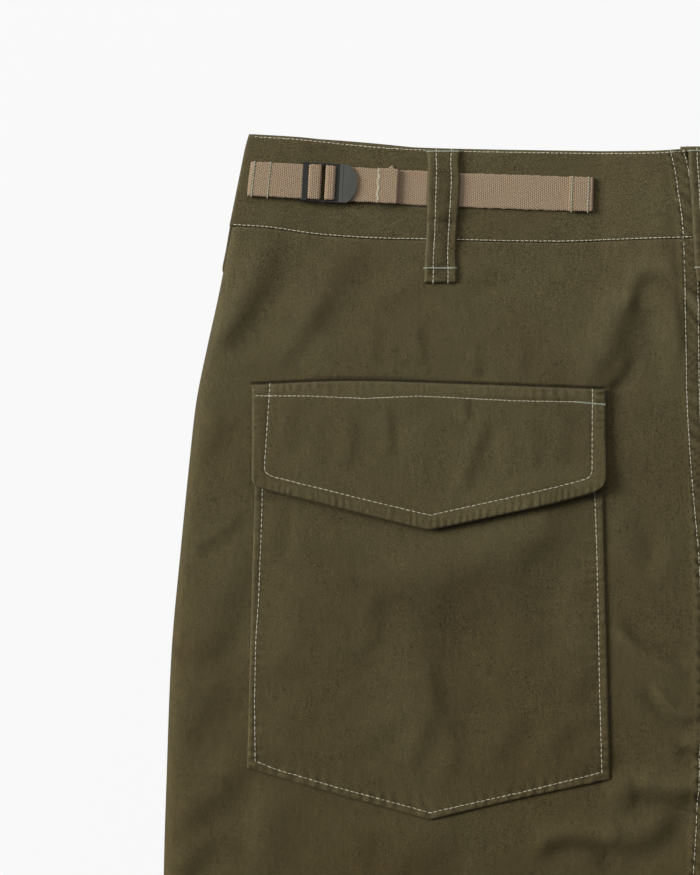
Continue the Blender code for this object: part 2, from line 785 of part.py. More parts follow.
def side_loop(side, name, finish):
    """The belt loop at the side of the front. Its outer edge shows past the waistband."""
    top_rows, under_rows = [], []
    for down in (SIDE_LOOP_HEAD, 25.0, 36.0, 46.5, 57.0, 66.0, 72.4, SIDE_LOOP_FOOT):
        edge = read(SIDE_LOOP_EDGE, down)
        places = (edge - SIDE_LOOP_WIDTH, edge - SIDE_LOOP_WIDTH / 2.0, edge)
        top_rows.append([point(side * outward, down, SIDE_LOOP_CLOTH) for outward in places])
        under_rows.append([point(side * outward, down, 0.0) for outward in places])
    return sheet(name, top_rows, under_rows, finish)


# Waist adjusters. Along runs from the buckle's outer end towards the centre back, and level
# is height above the waistband.
ANCHOR_PATH = (
    (-18.0, 0.95),
    (-28.1, 0.95),
    (-28.1, 2.55),
    (4.15, 2.55),
    (4.15, 4.65),
    (9.85, 4.65),
    (9.85, 0.95),
    (-16.6, 0.95),
)
STRAP_PATH = (
    (144.2, 2.55),
    (156.9, 2.55),
    (156.9, 0.95),
    (13.15, 0.95),
    (13.15, 4.65),
    (17.45, 4.65),
    (17.45, 2.55),
    (51.5, 2.55),
    (51.5, 4.15),
    (40.6, 4.15),
)
Bar = namedtuple("Bar", "start end low high")
OUTER_BAR = Bar(0.2, 3.2, 3.5, 4.9)
ANCHOR_BAR = Bar(5.1, 8.9, 2.2, 3.7)
LOCKING_BAR = Bar(14.1, 16.5, 2.2, 3.7)
RAIL = Bar(0.0, 21.5, 2.0, 5.1)
TAB_START = 20.3
TAB_LOW = 3.5
TAB_HIGH = 4.95


def strap_turn(outward):
    """How far the run of the strap is turned, in radians: it falls towards the centre back."""
    return math.atan2(straight(WEB_RUN, outward - 1.0) - straight(WEB_RUN, outward + 1.0), 2.0)


def strap_place(side, along, sideways, level):
    """A place on a waist adjuster, in the garment's frame."""
    outward = BUCKLE_OUTWARD - along
    down = straight(WEB_RUN, outward)
    turn = strap_turn(outward)
    base = max(band_top(side, side * (outward + step), down) for step in (-2.5, 0.0, 2.5))
    return point(side * (outward + sideways * math.sin(turn)), down + sideways * math.cos(turn), base + level)


def buckle_place(side, along, sideways, level):
    """A place on the buckle in its own frame, which put_on_strap() then places."""
    return Vector((-side * along, -sideways, level)) * MM


def put_on_strap(side, made):
    """Sets a piece of the buckle on the run of the strap."""
    down = straight(WEB_RUN, BUCKLE_OUTWARD)
    base = band_top(side, side * (BUCKLE_OUTWARD - TAB_REACH), down)
    made.location = point(side * BUCKLE_OUTWARD, down, base)
    made.rotation_euler.z = side * strap_turn(BUCKLE_OUTWARD)


def long_runs_split(places, longest):
    """The same path with extra places along its long runs."""
    split = [places[0]]
    for before, after in zip(places, places[1:]):
        pieces = max(1, math.ceil((after - before).length / longest))
        split += [before.lerp(after, step / pieces) for step in range(1, pieces + 1)]
    return split


def webbing(side, name, path, finish):
    """A flat strap along a path of along and level."""
    places = long_runs_split(rounded_path(path, WEB_BEND), 6.0 if path is ANCHOR_PATH else 14.0)
    rows = [[], []]
    for index, place in enumerate(places):
        before = places[max(index - 1, 0)]
        after = places[min(index + 1, len(places) - 1)]
        run = (after - before).normalized()
        for row, offset in zip(rows, (WEB_THICK / 2.0, -WEB_THICK / 2.0)):
            along = place.x - run.y * offset
            level = place.y + run.x * offset
            selvedges = (-WEB_WIDTH / 2.0, WEB_WIDTH / 2.0)
            row.append([strap_place(side, along, sideways, level) for sideways in selvedges])
    return sheet(name, rows[0], rows[1], finish)


def bar_block(side, name, bar, half_low, half_high, finish):
    """A bar of the buckle with softened edges, from one sideways place to another."""
    built = bmesh.new()
    bmesh.ops.create_cube(built, size=1.0)
    corners = ((bar.start, bar.end), (half_low, half_high), (bar.low, bar.high))
    for vertex in built.verts:
        along, sideways, level = (mix(*pair, step + 0.5) for pair, step in zip(corners, vertex.co))
        vertex.co = buckle_place(side, along, sideways, level)
    made = node_from(name, built, finish)
    softened(made)
    put_on_strap(side, made)
    return made


def softened(made):
    bevel = made.modifiers.new("softened edges", "BEVEL")
    bevel.width = BAR_BEVEL * MM
    bevel.segments = 2
    bevel.limit_method = "ANGLE"


def thumb_tab(side, name, finish):
    """The buckle's rounded tab, straight on the side that grips the strap."""
    half = WEB_WIDTH / 2.0 + SEAM_GAP + RAIL_WIDTH - TAB_INSET
    shoulder = TAB_START + TAB_STRAIGHT
    outline = [(TAB_START, -half), (TAB_START, half), (shoulder, half)]
    for step in range(9):
        turn = math.pi * (0.5 - (step + 0.5) / 9.0)
        reach = (TAB_REACH - shoulder) * math.cos(turn) ** TAB_TAPER
        outline.append((shoulder + reach, half * math.sin(turn)))
    outline.append((shoulder, -half))
    built = bmesh.new()
    upper = [built.verts.new(buckle_place(side, along, sideways, TAB_HIGH)) for along, sideways in outline]
    lower = [built.verts.new(buckle_place(side, along, sideways, TAB_LOW)) for along, sideways in outline]
    built.faces.new(upper)
    built.faces.new(lower)
    for index in range(len(outline)):
        following = (index + 1) % len(outline)
        built.faces.new((upper[index], upper[following], lower[following], lower[index]))
    made = node_from(name, built, finish)
    softened(made)
    put_on_strap(side, made)
    return made


def buckle(side, name, finish):
    """Ladder buckle: two rails, three bars and a thumb tab in one moulding."""
    inner = WEB_WIDTH / 2.0 + SEAM_GAP
    outer = inner + RAIL_WIDTH
    made = bar_block(side, name, RAIL, -outer, -inner, finish)
    others = [bar_block(side, name + "_rail_shape", RAIL, inner, outer, finish)]
    for label, bar in (("outer", OUTER_BAR), ("anchor", ANCHOR_BAR), ("locking", LOCKING_BAR)):
        others.append(bar_block(side, f"{name}_{label}_bar_shape", bar, -outer + 0.3, outer - 0.3, finish))
    others.append(thumb_tab(side, name + "_tab_shape", finish))
    for other in others:
        other.hide_render = True
        other.display_type = "WIRE"
        joined = made.modifiers.new("join " + other.name, "BOOLEAN")
        joined.operation = "UNION"
        joined.solver = "EXACT"
        joined.object = other
    return made


def build():
    for leftover in list(bpy.data.objects):
        bpy.data.objects.remove(leftover)
    twill = (0.078, 0.065, 0.032)
    tan = (0.27, 0.20, 0.13)
    for side, hand in ((-1, "left"), (1, "right")):
        body_back(side, f"back_{hand}", material(f"back {hand} twill", twill, 0.9))
        body_front(side, f"front_{hand}", material(f"front {hand} twill", twill, 0.9))
        band_back(side, f"waistband_back_{hand}", material(f"back band {hand} twill", twill, 0.9))
        band_front(side, f"waistband_front_{hand}", material(f"front band {hand} twill", twill, 0.9))
        pocket(side, f"pocket_{hand}", material(f"pocket {hand} twill", twill, 0.9))
        flap(side, f"flap_{hand}", material(f"flap {hand} twill", twill, 0.9))
        loop_twill = material(f"back loop {hand} twill", twill, 0.9)
        belt_loop(f"belt_loop_back_{hand}", LOOP_OVER_STRAP, BACK_LOOP, -side, loop_twill)
        side_loop(side, f"belt_loop_side_{hand}", material(f"side loop {hand} twill", twill, 0.9))
        webbing(side, f"strap_anchor_{hand}", ANCHOR_PATH, material(f"anchor {hand} webbing", tan, 0.95))
        webbing(side, f"strap_{hand}", STRAP_PATH, material(f"strap {hand} webbing", tan, 0.95))
        buckle(side, f"buckle_{hand}", material(f"buckle {hand} plastic", (0.03, 0.033, 0.03), 0.45))
    belt_loop("belt_loop_centre", LOOP_ON_BAND, CENTRE_LOOP, 1, material("centre loop twill", twill, 0.9))
    fly_shield(material("fly twill", twill, 0.9))
    waist_button(material("button resin", (0.06, 0.05, 0.03), 0.4))


build()
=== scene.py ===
"""Work trousers laid flat on their front: cloth, webbing, buckles, thread and studio.

Across runs from the centre back line towards the wearer's right, down runs from the waist
to the hems, and height is measured up from the surface, all in millimetres. Outward is
across measured away from the centre on either side.
"""

import math
from collections import namedtuple

import bmesh
import bpy
import numpy as np
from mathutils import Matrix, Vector


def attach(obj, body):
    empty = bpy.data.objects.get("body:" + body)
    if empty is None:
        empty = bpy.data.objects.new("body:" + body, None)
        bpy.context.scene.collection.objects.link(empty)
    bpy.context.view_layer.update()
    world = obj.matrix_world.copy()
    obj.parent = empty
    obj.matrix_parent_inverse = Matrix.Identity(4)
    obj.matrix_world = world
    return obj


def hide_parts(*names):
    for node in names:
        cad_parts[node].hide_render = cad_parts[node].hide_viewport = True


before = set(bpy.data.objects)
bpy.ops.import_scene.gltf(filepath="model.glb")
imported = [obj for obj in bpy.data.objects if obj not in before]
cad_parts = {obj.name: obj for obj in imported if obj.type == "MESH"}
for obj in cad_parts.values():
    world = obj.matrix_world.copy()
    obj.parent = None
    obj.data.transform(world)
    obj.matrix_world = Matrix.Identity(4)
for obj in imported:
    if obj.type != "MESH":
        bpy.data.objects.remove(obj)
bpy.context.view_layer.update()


# Backs of the legs and seat: two pieces of heavy cotton twill, cut from the waist seam to the
# hem. They meet in a felled seam down the seat, and are garment washed, so that they lie in
# soft creases and have paled wherever the cloth stands proud. That paling is partly painted
# highlight, and the troughs, puckers and grooves are darkened as painted shade.

MM = 0.001
HALVES = ((-1, "left"), (1, "right"))
OUTSEAM = 1050.0
CROTCH = 412.0
CLOTH = 1.2
SEAM_GAP = 0.3
BODY_LOFT = 4.6
LEAST_LOFT = 0.9
SIDE_REACH = 15.0
BAND_REACH = 30.0
WAIST_LOFT_SHARE = 0.3
BODY_BULGE = 5.0
RIM_HEIGHT = 0.1
FELL_WIDTH = 10.2
FELL_STEP = 2.0
FELL_RISE = 0.5
SEAT_ROWS_IN = (
    ((9.0, 1.2), (56.0, 1.0), (100.0, 2.2), (147.0, 3.0), (200.0, 2.6), (250.0, 1.4), (412.0, 1.4)),
    ((9.0, 8.4), (56.0, 8.2), (100.0, 9.0), (147.0, 9.8), (200.0, 8.6), (250.0, 7.4), (412.0, 8.0)),
)
HEM_DEPTH = 22.0
HEM_RISE = 0.7
SIDE_LOOP_WIDTH = 16.0
SIDE_LOOP_FOOT = 74.6
SIDE_LOOP_LIFT = 1.7
WAIST_SEAM_LEVEL = 57.7

SIDE_EDGE = (
    (0, 244.3), (13, 248.6), (28.6, 251.9), (48.6, 255.9), (63.8, 259), (89.7, 264.3),
    (116.8, 270.3), (143.8, 275.7), (170.8, 278.9), (224.9, 284.3), (278.9, 289.2), (346.5, 291.9),
    (412, 293.6), (520, 292.5), (650, 288), (800, 283), (930, 280), (1050, 278),
)
INSEAM = (
    (412, 0.4), (430, 5.5), (470, 14), (520, 21), (600, 29), (720, 35), (880, 39), (1050, 42),
)
SEAT_SEAM = (
    (9, -11.4), (20, -8.9), (33.5, -7), (47.6, -5.1), (73.5, -3.8), (124, -1.6), (187.6, 1.1),
    (230, 3.6), (300, 4.5), (360, 3), (412, 0),
)
WAIST_SEAM = (
    (0, 56.6), (46.5, 57.7), (82.2, 58.7), (152.4, 57.4), (177.8, 56.9), (210.3, 54.7),
    (235.7, 51.2), (255.7, 49.8),
)

# A crease is a soft step along a path of (across, down). The cloth is high on the right hand
# of one who walks the path, low on the left, and comes back to its level past its reach. Each
# row below gives a crease's reach and drop, then across and down of every place on its path.
Crease = namedtuple("Crease", "path reach drop")
CREASE_ENDS = 0.22
CREASE_DEPTH = 1.75
CREASE_BOX = 3.2
PRESSED_REACH = 0.85
BODY_CREASE_ROWS = (
    # above, beside and below the pocket
    (7.5, 1.2, -231, 50, -235, 66, -239, 80, -246, 93, -252, 103, -259, 112, -264, 124),
    (9, 0.85, -183, 54, -189, 65, -199, 77, -203, 88, -208, 97, -216, 110),
    (5, 0.35, -203, 86, -208, 98, -215, 108, -222, 118, -231, 128),
    (5, 0.35, -150, 82, -165, 87, -178, 93),
    (2.8, 0.2, -178, 98, -178, 114, -177, 129),
    (3.2, 0.25, -155, 100, -153, 113, -151, 128),
    (3, 0.24, -126, 112, -122, 122, -125, 133),
    (3, 0.15, -97, 114, -98, 122, -99, 132),
    (6, 0.45, -100, 70, -118, 76, -136, 85),
    (4, -0.3, -128, 60, -118, 62, -106, 62),
    (9, 0.3, -56, 110, -69, 123, -88, 134),
    (3.8, 0.95, -16, 88, -19, 80, -24, 76.5, -31, 76, -36, 80, -39, 89, -42, 100),
    (8.5, 1.2, -35, 82, -40, 94, -45, 106, -48, 118, -55, 131, -62, 145),
    (3.4, 0.5, -40, 117, -43, 127, -48, 134, -56, 142),
    (3, 0.5, -21, 81, -16, 91, -13.5, 105, -12, 122),
    (6.5, 0.6, -20, 140, -24, 114, -29, 90),
    (3, 0.5, -22, 59, -18, 69, -16, 83),
    (7, 0.35, -258, 150, -266, 166, -276, 180),
    (3.6, 0.3, -247, 203, -258, 214, -268, 222, -279, 229),
    (9, 0.48, -243, 222, -249, 240, -256, 256, -263, 272, -276, 291),
    (4.5, 0.15, -249, 264, -261, 276, -276, 288),
    (9.5, 0.45, -252, 296, -265, 307, -273, 318, -286, 332),
    (7.5, 0.6, -249, 336, -257, 354, -267, 363, -277, 371, -289, 383),
    (7, 0.6, -262, 378, -274, 392, -286, 405),
    (7, 0.35, -243, 402, -246, 380, -249, 360),
    (6, 0.25, -43, 202, -36, 221, -28, 238),
    (6, 0.3, -34, 240, -28, 232, -24, 216),
    (3.4, 0.95, -50, 261, -42, 270, -33, 278, -21, 284, -8, 291),
    (3, 0.95, -2, 316, -10, 317.5, -19, 313.5, -27, 305, -31, 297),
    (3, 0.9, 0, 333, -7, 333, -14, 330),
    (6, 1.45, 3, 358, -6, 357.5, -15, 358.5, -27, 357, -42, 352),
    (7, 0.95, -15, 362, -19, 371, -25, 379, -36, 384, -48, 386, -62, 384),
    (5.5, 1.1, -44, 386, -62, 383, -78, 383, -94, 389),
    (6, 0.6, -58, 356, -48, 348, -38, 346),
    (12, 0.7, -128, 382, -150, 390, -172, 398),
    (8, 0.32, -168, 372, -178, 382, -190, 392),
    (10, 0.35, -222, 352, -226, 372, -232, 394),
    # under the pocket
    (16, 1.05, -64, 210, -84, 221, -104, 233, -124, 240, -148, 246, -184, 250),
    (7, 0.2, -78, 213, -90, 223, -103, 229),
    (7, 0.15, -112, 232, -130, 240, -148, 243),
    (13, 0.8, -147, 246, -147, 270, -146, 292, -143, 312, -141, 342),
    (4, 0.25, -150, 284, -145, 300, -143, 318),
    (6, 0.4, -176, 246, -179, 262, -178, 282),
    (22, 0.55, -192, 232, -197, 262, -198, 300),
    (5.5, 0.24, -146, 314, -153, 330, -159, 346),
    (5, 0.2, -134, 318, -134, 334, -137, 352),
    (6.5, 0.24, -160, 314, -176, 326, -192, 338),
    (5, 0.24, -56, 322, -68, 319, -77, 325, -84, 338),
    (7, 0.3, -96, 312, -104, 326, -110, 342),
    (4.5, 0.2, -229, 196, -230, 214, -231, 234),
    (8, 0.32, -212, 262, -222, 282, -236, 296),
    (6, 0.28, -60, 286, -66, 298, -72, 310),
    (9, -0.45, -84, 240, -76, 262, -74, 286),
    # down the leg
    (14, -1, -20, 424, -70, 436, -130, 440),
    (15, -1.2, -24, 462, -80, 480, -170, 496),
    (14, 0.9, -180, 430, -220, 470, -236, 530),
    (18, 0.9, -150, 640, -210, 610, -268, 580),
    (14, -1.1, -275, 636, -220, 664, -170, 676),
    (14, 1.1, -50, 706, -100, 690, -160, 672),
    (13, 0.9, -150, 728, -110, 726, -46, 744),
    (20, 1, -262, 790, -190, 760, -120, 730),
    (22, 0.9, -150, 840, -158, 920, -160, 1004),
    (16, 0.7, -92, 880, -88, 950, -96, 1016),
    (18, -0.7, -236, 870, -230, 940, -238, 1010),
    (18, 0.8, -60, 560, -72, 620, -66, 668),
)


def share(value, none, full):
    """0 at none, 1 at full, straight between them and level outside them."""
    return np.clip((value - none) / (full - none), 0.0, 1.0)


def eased(value):
    return value * value * (3.0 - 2.0 * value)


def mix(first, second, amount):
    return first + (second - first) * amount


def read(table, at):
    """The second column beside a value of the first, on a smooth curve through the rows."""
    places, values = np.array(table, float).T
    at = np.clip(at, places[0], places[-1])
    slopes = np.gradient(values, places)
    slopes[1:-1] = (values[2:] - values[:-2]) / (places[2:] - places[:-2])
    low = np.clip(np.searchsorted(places, at, side="right") - 1, 0, len(places) - 2)
    step = places[low + 1] - places[low]
    t = (at - places[low]) / step
    rise = values[low + 1] - values[low]
    start, end = slopes[low] * step, slopes[low + 1] * step
    return values[low] + t * (start + t * (3.0 * rise - 2.0 * start - end + t * (start + end - 2.0 * rise)))


def unevenness(across, down, cell_across, cell_down, seed):
    """Soft random rises and dips from -1 to 1, about one cell apart."""
    lattice = np.random.default_rng(seed).uniform(-1.0, 1.0, (97, 97))
    column, row = across / cell_across, down / cell_down
    left, top = np.floor(column).astype(int), np.floor(row).astype(int)
    x, y = eased(column - left), eased(row - top)
    upper = mix(lattice[top % 97, left % 97], lattice[top % 97, (left + 1) % 97], x)
    lower = mix(lattice[(top + 1) % 97, left % 97], lattice[(top + 1) % 97, (left + 1) % 97], x)
    return mix(upper, lower, y)


def nearest_on(path, across, down):
    """Distance to a path, the share of it travelled there, and whether it passes on the left."""
    path = np.array(path, float)
    runs = np.diff(path, axis=0)
    lengths = np.hypot(runs[:, 0], runs[:, 1])
    nearest = np.full(np.broadcast(across, down).shape, np.inf)
    travelled = np.zeros(nearest.shape)
    on_left = np.zeros(nearest.shape, bool)
    done = 0.0
    for start, run, length in zip(path, runs, lengths):
        along = np.clip(((across - start[0]) * run[0] + (down - start[1]) * run[1]) / length**2, 0.0, 1.0)
        off_across = across - start[0] - along * run[0]
        off_down = down - start[1] - along * run[1]
        gap = np.hypot(off_across, off_down)
        closer = gap < nearest
        nearest = np.where(closer, gap, nearest)
        travelled = np.where(closer, done + along * length, travelled)
        on_left = np.where(closer, run[0] * off_down - run[1] * off_across < 0.0, on_left)
        done += length
    return nearest, travelled / done, on_left


def bent(path):
    """The same path with three more places on a smooth curve between each two."""
    path = np.array(path, float)
    slopes = np.gradient(path, axis=0)
    places = []
    for start, end, leaving, arriving in zip(path, path[1:], slopes, slopes[1:]):
        for t in (0.0, 0.25, 0.5, 0.75):
            run = end - start
            turn = 3.0 * run - 2.0 * leaving - arriving + t * (leaving + arriving - 2.0 * run)
            places.append(start + t * (leaving + t * turn))
    return np.array(places + [path[-1]])


def creased(creases, across, down):
    """The height of all creases together."""
    across, down = np.broadcast_arrays(across, down)
    total = np.zeros(across.shape)
    for crease in creases:
        path = bent(crease.path)
        low, high = path.min(axis=0) - CREASE_BOX * crease.reach, path.max(axis=0) + CREASE_BOX * crease.reach
        near = (across > low[0]) & (across < high[0]) & (down > low[1]) & (down < high[1])
        if near.any():
            gap, travelled, on_left = nearest_on(path, across[near], down[near])
            fade = eased(np.clip(np.minimum(travelled, 1.0 - travelled) / CREASE_ENDS, 0.0, 1.0))
            offset = np.where(on_left, -gap, gap) / crease.reach
            total[near] += crease.drop * fade * offset * np.exp(0.5 - 0.5 * offset * offset)
    return total


def gathered(along, inward, pitch, seed):
    """Puckers about a pitch apart that run square to a sewn edge, uneven in place and height."""
    place = along / pitch + 0.8 * unevenness(along, inward, 2.6 * pitch, 22.0, seed)
    size = 0.6 + 0.4 * unevenness(along, inward, 1.7 * pitch, 26.0, seed + 1)
    return np.sin(2.0 * math.pi * place) * size


def groove(distance, reach):
    """1 on a line, falling softly to nothing past its reach."""
    return np.exp(-((distance / reach) ** 2))


def pressed(rows, across, down, depth):
    """The narrow grooves that rows of stitches pull into the cloth."""
    total = np.zeros(np.broadcast(across, down).shape)
    for row in rows:
        total += depth * groove(nearest_on(row, across, down)[0], PRESSED_REACH)
    return total


def opposite(crease, number):
    """A crease like the given one on the other half, at its own place and size."""
    change = np.random.default_rng(number).uniform(-1.0, 1.0, (len(crease.path), 2))
    path = [(-across + 3.0 * x, down + 3.5 * y) for (across, down), (x, y) in zip(crease.path, change)]
    reach = crease.reach * (1.0 + 0.12 * change[-1, 1])
    drop = crease.drop * (0.85 + 0.2 * change[0, 0])
    return Crease(path[::-1], reach, drop)


def on_both_halves(rows, seed):
    """The creases of a table, and one like each of them on the other half."""
    given = [Crease(list(zip(row[2::2], row[3::2])), *row[:2]) for row in rows]
    return given + [opposite(crease, seed + number) for number, crease in enumerate(given)]


BODY_CREASES = on_both_halves(BODY_CREASE_ROWS, 0)


def body_creases(across, down):
    wide = 0.25 * unevenness(across, down, 46.0, 60.0, 3) + 0.09 * unevenness(across, down, 15.0, 19.0, 4)
    fine = 0.035 * unevenness(across, down, 5.0, 9.0, 5)
    return CREASE_DEPTH * creased(BODY_CREASES, across, down) + wide + fine


def side_lift(outward, down):
    """How far a belt loop under the side edge holds the cloth up."""
    from_edge = read(SIDE_EDGE, down) - outward
    inner = SIDE_LOOP_WIDTH + 0.5
    along = share(down, SIDE_LOOP_FOOT + 40.0, SIDE_LOOP_FOOT + 1.0)
    return SIDE_LOOP_LIFT * eased(share(from_edge, inner + 40.0, inner)) * eased(along)


def centre_bulge(across, down, height):
    """The back riding over the lapped closure of the front."""
    return height * share(abs(across), 57.0, 24.0) * share(down, 130.0, 76.0)


def inner_limit(side, down):
    """Outward place of a back half's inner edge: the seat seam, then the inseam."""
    seam = read(SEAT_SEAM, down)
    above = -seam if side < 0 else seam + SEAM_GAP
    return np.where(down > CROTCH, read(INSEAM, down), above)


def rounded(distance, radius):
    """Share of the full thickness at a distance from a rounded edge."""
    return np.sqrt(1.0 - (1.0 - np.clip(distance / radius, 0.0, 1.0)) ** 2)


def body_under(side, across, down):
    """Height of the back cloth's inner face."""
    outward = side * across
    from_side = read(SIDE_EDGE, down) - outward
    below_crotch = share(down, CROTCH - 12.0, CROTCH + 13.0)
    from_inner = outward - inner_limit(side, down) + SIDE_REACH * (1.0 - below_crotch)
    edge = rounded(np.minimum(from_side, from_inner), SIDE_REACH)
    along = mix(WAIST_LOFT_SHARE, 1.0, eased(share(down, 50.0, 120.0)))
    loft = BODY_LOFT + body_creases(across, down) - LEAST_LOFT
    loft = LEAST_LOFT + 0.5 * (loft + np.sqrt(loft * loft + 0.16))
    rest = CLOTH + SEAM_GAP + side_lift(outward, down)
    return rest + loft * edge * along + centre_bulge(across, down, BODY_BULGE)


def fell_gathers(from_seam, down):
    return gathered(down + 0.9 * from_seam, from_seam, 6.8, 11)


def on_seat_rows(from_seam, down):
    return sum(groove(from_seam - read(row, down), 0.8) for row in SEAT_ROWS_IN)


def above_crotch(down):
    return share(down, CROTCH + 10.0, CROTCH - 10.0)


def fell_wear_and_shade(side, from_seam, down):
    """Pale tops of the puckered fell, as wear and painted highlight, and painted shade in its hollows and in
    the groove beside each row.
    """
    on_fell = share(from_seam, FELL_WIDTH + 1.0, FELL_WIDTH - 1.0) * (side < 0) * above_crotch(down)
    # Pucker hollows and the row grooves go below nothing, which the twill shows as painted shade.
    return on_fell * (0.02 + 0.9 * fell_gathers(from_seam, down) - 0.35 * on_seat_rows(from_seam, down))


def seat_rows(down):
    """The seat seam's two rows of stitches as (across, down)."""
    return [np.column_stack([-inner_limit(-1, down) - read(row, down), down]) for row in SEAT_ROWS_IN]


def fell_rise(side, outward, down):
    """The extra cloth of the felled seat seam, puckered between its two rows of stitches."""
    if side > 0:
        return 0.0 * outward
    from_seam = outward - inner_limit(side, down)
    puckers = fell_gathers(from_seam, down) * share(from_seam, FELL_WIDTH, FELL_WIDTH - 2.0)
    raised = FELL_RISE * eased(share(from_seam, FELL_WIDTH + FELL_STEP, FELL_WIDTH - 0.4))
    puckers = (puckers - 0.3 * on_seat_rows(from_seam, down)) * (from_seam < 14.0)
    return (raised + puckers) * above_crotch(down)


FLAP_OUTER = 245.2
FLAP_INNER = 54.6
FLAP_HEAD = ((0.0, 135.7), (0.278, 133.7), (0.617, 135.5), (0.776, 136.6), (1.0, 138.2))
FLAP_PRESS = 1.0
FLAP_PRESS_REACH = 0.9


def flap_pressed(outward, down):
    """The groove that a flap's folded head presses into the cloth under it."""
    head = read(FLAP_HEAD, share(outward, FLAP_OUTER, FLAP_INNER))
    inside = share(outward, FLAP_INNER - 0.5, FLAP_INNER + 0.5)
    inside = inside * share(outward, FLAP_OUTER + 0.5, FLAP_OUTER - 0.5)
    return FLAP_PRESS * inside * groove(down - head + 0.5, FLAP_PRESS_REACH)


def on_hem(down):
    return share(down, OUTSEAM - HEM_DEPTH - 0.8, OUTSEAM - HEM_DEPTH + 0.8)


def body_top(side, across, down):
    """Height of the back cloth's outer face."""
    hem = HEM_RISE * on_hem(down)
    below_band = down - read(WAIST_SEAM, side * across)
    gathers = 0.2 * unevenness(across, down, 5.0, 30.0, 12) * share(below_band, 11.0, 0.0)
    thick = CLOTH + fell_rise(side, side * across, down) + hem + gathers - flap_pressed(side * across, down)
    return body_under(side, across, down) + thick


def stepped(start, end, fine, coarse, reach):
    """Places from start to end, fine apart near both ends and coarse apart between."""
    length = end - start
    places, place = [0.0, 0.35 * fine], 0.35 * fine
    while place < length / 2.0:
        place += mix(fine, coarse, min(place / reach, 1.0))
        places.append(place)
    half = np.array(places) / places[-1] * (length / 2.0)
    return start + np.concatenate([half, length - half[-2::-1]])


def linked(name, data):
    made = bpy.data.objects.new(name, data)
    bpy.context.scene.collection.objects.link(made)
    return made


def grid(across, down, height):
    """One grid of (across, down, height)."""
    return np.stack([across, down, height], axis=-1)


def shell(name, top, under, finish, wear_and_shade=None, chart=None):
    """A closed wall of cloth between two grids of (across, down, height)."""
    rows, columns = top.shape[:2]
    places = np.concatenate([top.reshape(-1, 3), under.reshape(-1, 3)])
    places[:, 1] = OUTSEAM / 2.0 - places[:, 1]
    number = np.arange(rows * columns).reshape(rows, columns)
    cells = [number[:-1, :-1], number[:-1, 1:], number[1:, 1:], number[1:, :-1]]
    upper = np.stack(cells, axis=-1).reshape(-1, 4)
    ring = np.concatenate([number[0], number[1:, -1], number[-1, -2::-1], number[-2::-1, 0]])
    rim = np.stack([ring[1:], ring[:-1], ring[:-1] + rows * columns, ring[1:] + rows * columns], axis=-1)
    faces = np.concatenate([upper, upper[:, ::-1] + rows * columns, rim])
    corners = places[faces]
    volume = np.einsum("ij,ij->", corners[:, 0], np.cross(corners[:, 1], corners[:, 2]))
    volume += np.einsum("ij,ij->", corners[:, 0], np.cross(corners[:, 2], corners[:, 3]))
    if volume < 0.0:
        faces = faces[:, ::-1]
    mesh = bpy.data.meshes.new(name)
    mesh.from_pydata((places * MM).tolist(), [], faces.tolist())
    mesh.shade_smooth()
    mesh.materials.append(finish)
    # The attribute carries wear, painted highlight and painted shade for the cloth's finish.
    if wear_and_shade is not None:
        layer = mesh.attributes.new("wear_and_shade", "FLOAT", "POINT")
        layer.data.foreach_set("value", np.tile(wear_and_shade.reshape(-1), 2).astype(np.float32))
    if chart is not None:
        flat = np.tile(chart.reshape(-1, 2), (2, 1))[faces.reshape(-1)]
        mesh.uv_layers.new(name="run").data.foreach_set("uv", flat.reshape(-1).astype(np.float32))
    return linked(name, mesh)


def fitted(piece, node):
    """Attaches a piece to the root body and hides the solid that it stands for."""
    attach(piece, "root")
    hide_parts(node)


def laid(piece, node):
    """Attaches a sewn piece of cloth that lies in its place and hides the solid that it stands for."""
    fitted(piece, node)


def wire(tree, node, inputs):
    """Sets each input of a node to a value, or links it to another node's output."""
    for name, value in inputs.items():
        if isinstance(value, bpy.types.NodeSocket):
            tree.links.new(value, node.inputs[name])
        else:
            node.inputs[name].default_value = value
    return node


def put(tree, kind, inputs, **settings):
    """A node with its settings, its values and what is linked to it."""
    made = tree.nodes.new(kind)
    for name, value in settings.items():
        setattr(made, name, value)
    return wire(tree, made, inputs)


def math_of(tree, operation, first, second=0.0):
    return put(tree, "ShaderNodeMath", {0: first, 1: second}, operation=operation).outputs[0]


def plus(tree, total, value, factor):
    return math_of(tree, "ADD", total, math_of(tree, "MULTIPLY", value, factor))


def blended(tree, mode, amount, first, second):
    inputs = {0: amount, 6: first, 7: second}
    return put(tree, "ShaderNodeMix", inputs, data_type="RGBA", blend_type=mode).outputs[2]


def ranged(tree, value, low=0.0, high=1.0, start=0.0, end=1.0, **settings):
    """A value between low and high, read on the scale from start to end."""
    inputs = {0: value, 1: low, 2: high, 3: start, 4: end}
    return put(tree, "ShaderNodeMapRange", inputs, **settings).outputs[0]


def noise(tree, vector, scale, detail):
    return put(tree, "ShaderNodeTexNoise", {"Vector": vector, "Scale": scale, "Detail": detail}).outputs[0]


def grey(tree, value):
    return put(tree, "ShaderNodeCombineColor", {0: value, 1: value, 2: value}).outputs[0]


def bumped(tree, height, strength, distance):
    inputs = {"Height": height, "Strength": strength, "Distance": distance}
    return put(tree, "ShaderNodeBump", inputs).outputs[0]


def object_places(tree):
    return tree.nodes.new("ShaderNodeTexCoord").outputs["Object"]


def material(name, values):
    """A material, its node tree and its shader, set to some fixed values."""
    made = bpy.data.materials.new(name)
    made.use_nodes = True
    shader = made.node_tree.nodes["Principled BSDF"]
    return made, made.node_tree, wire(made.node_tree, shader, values)


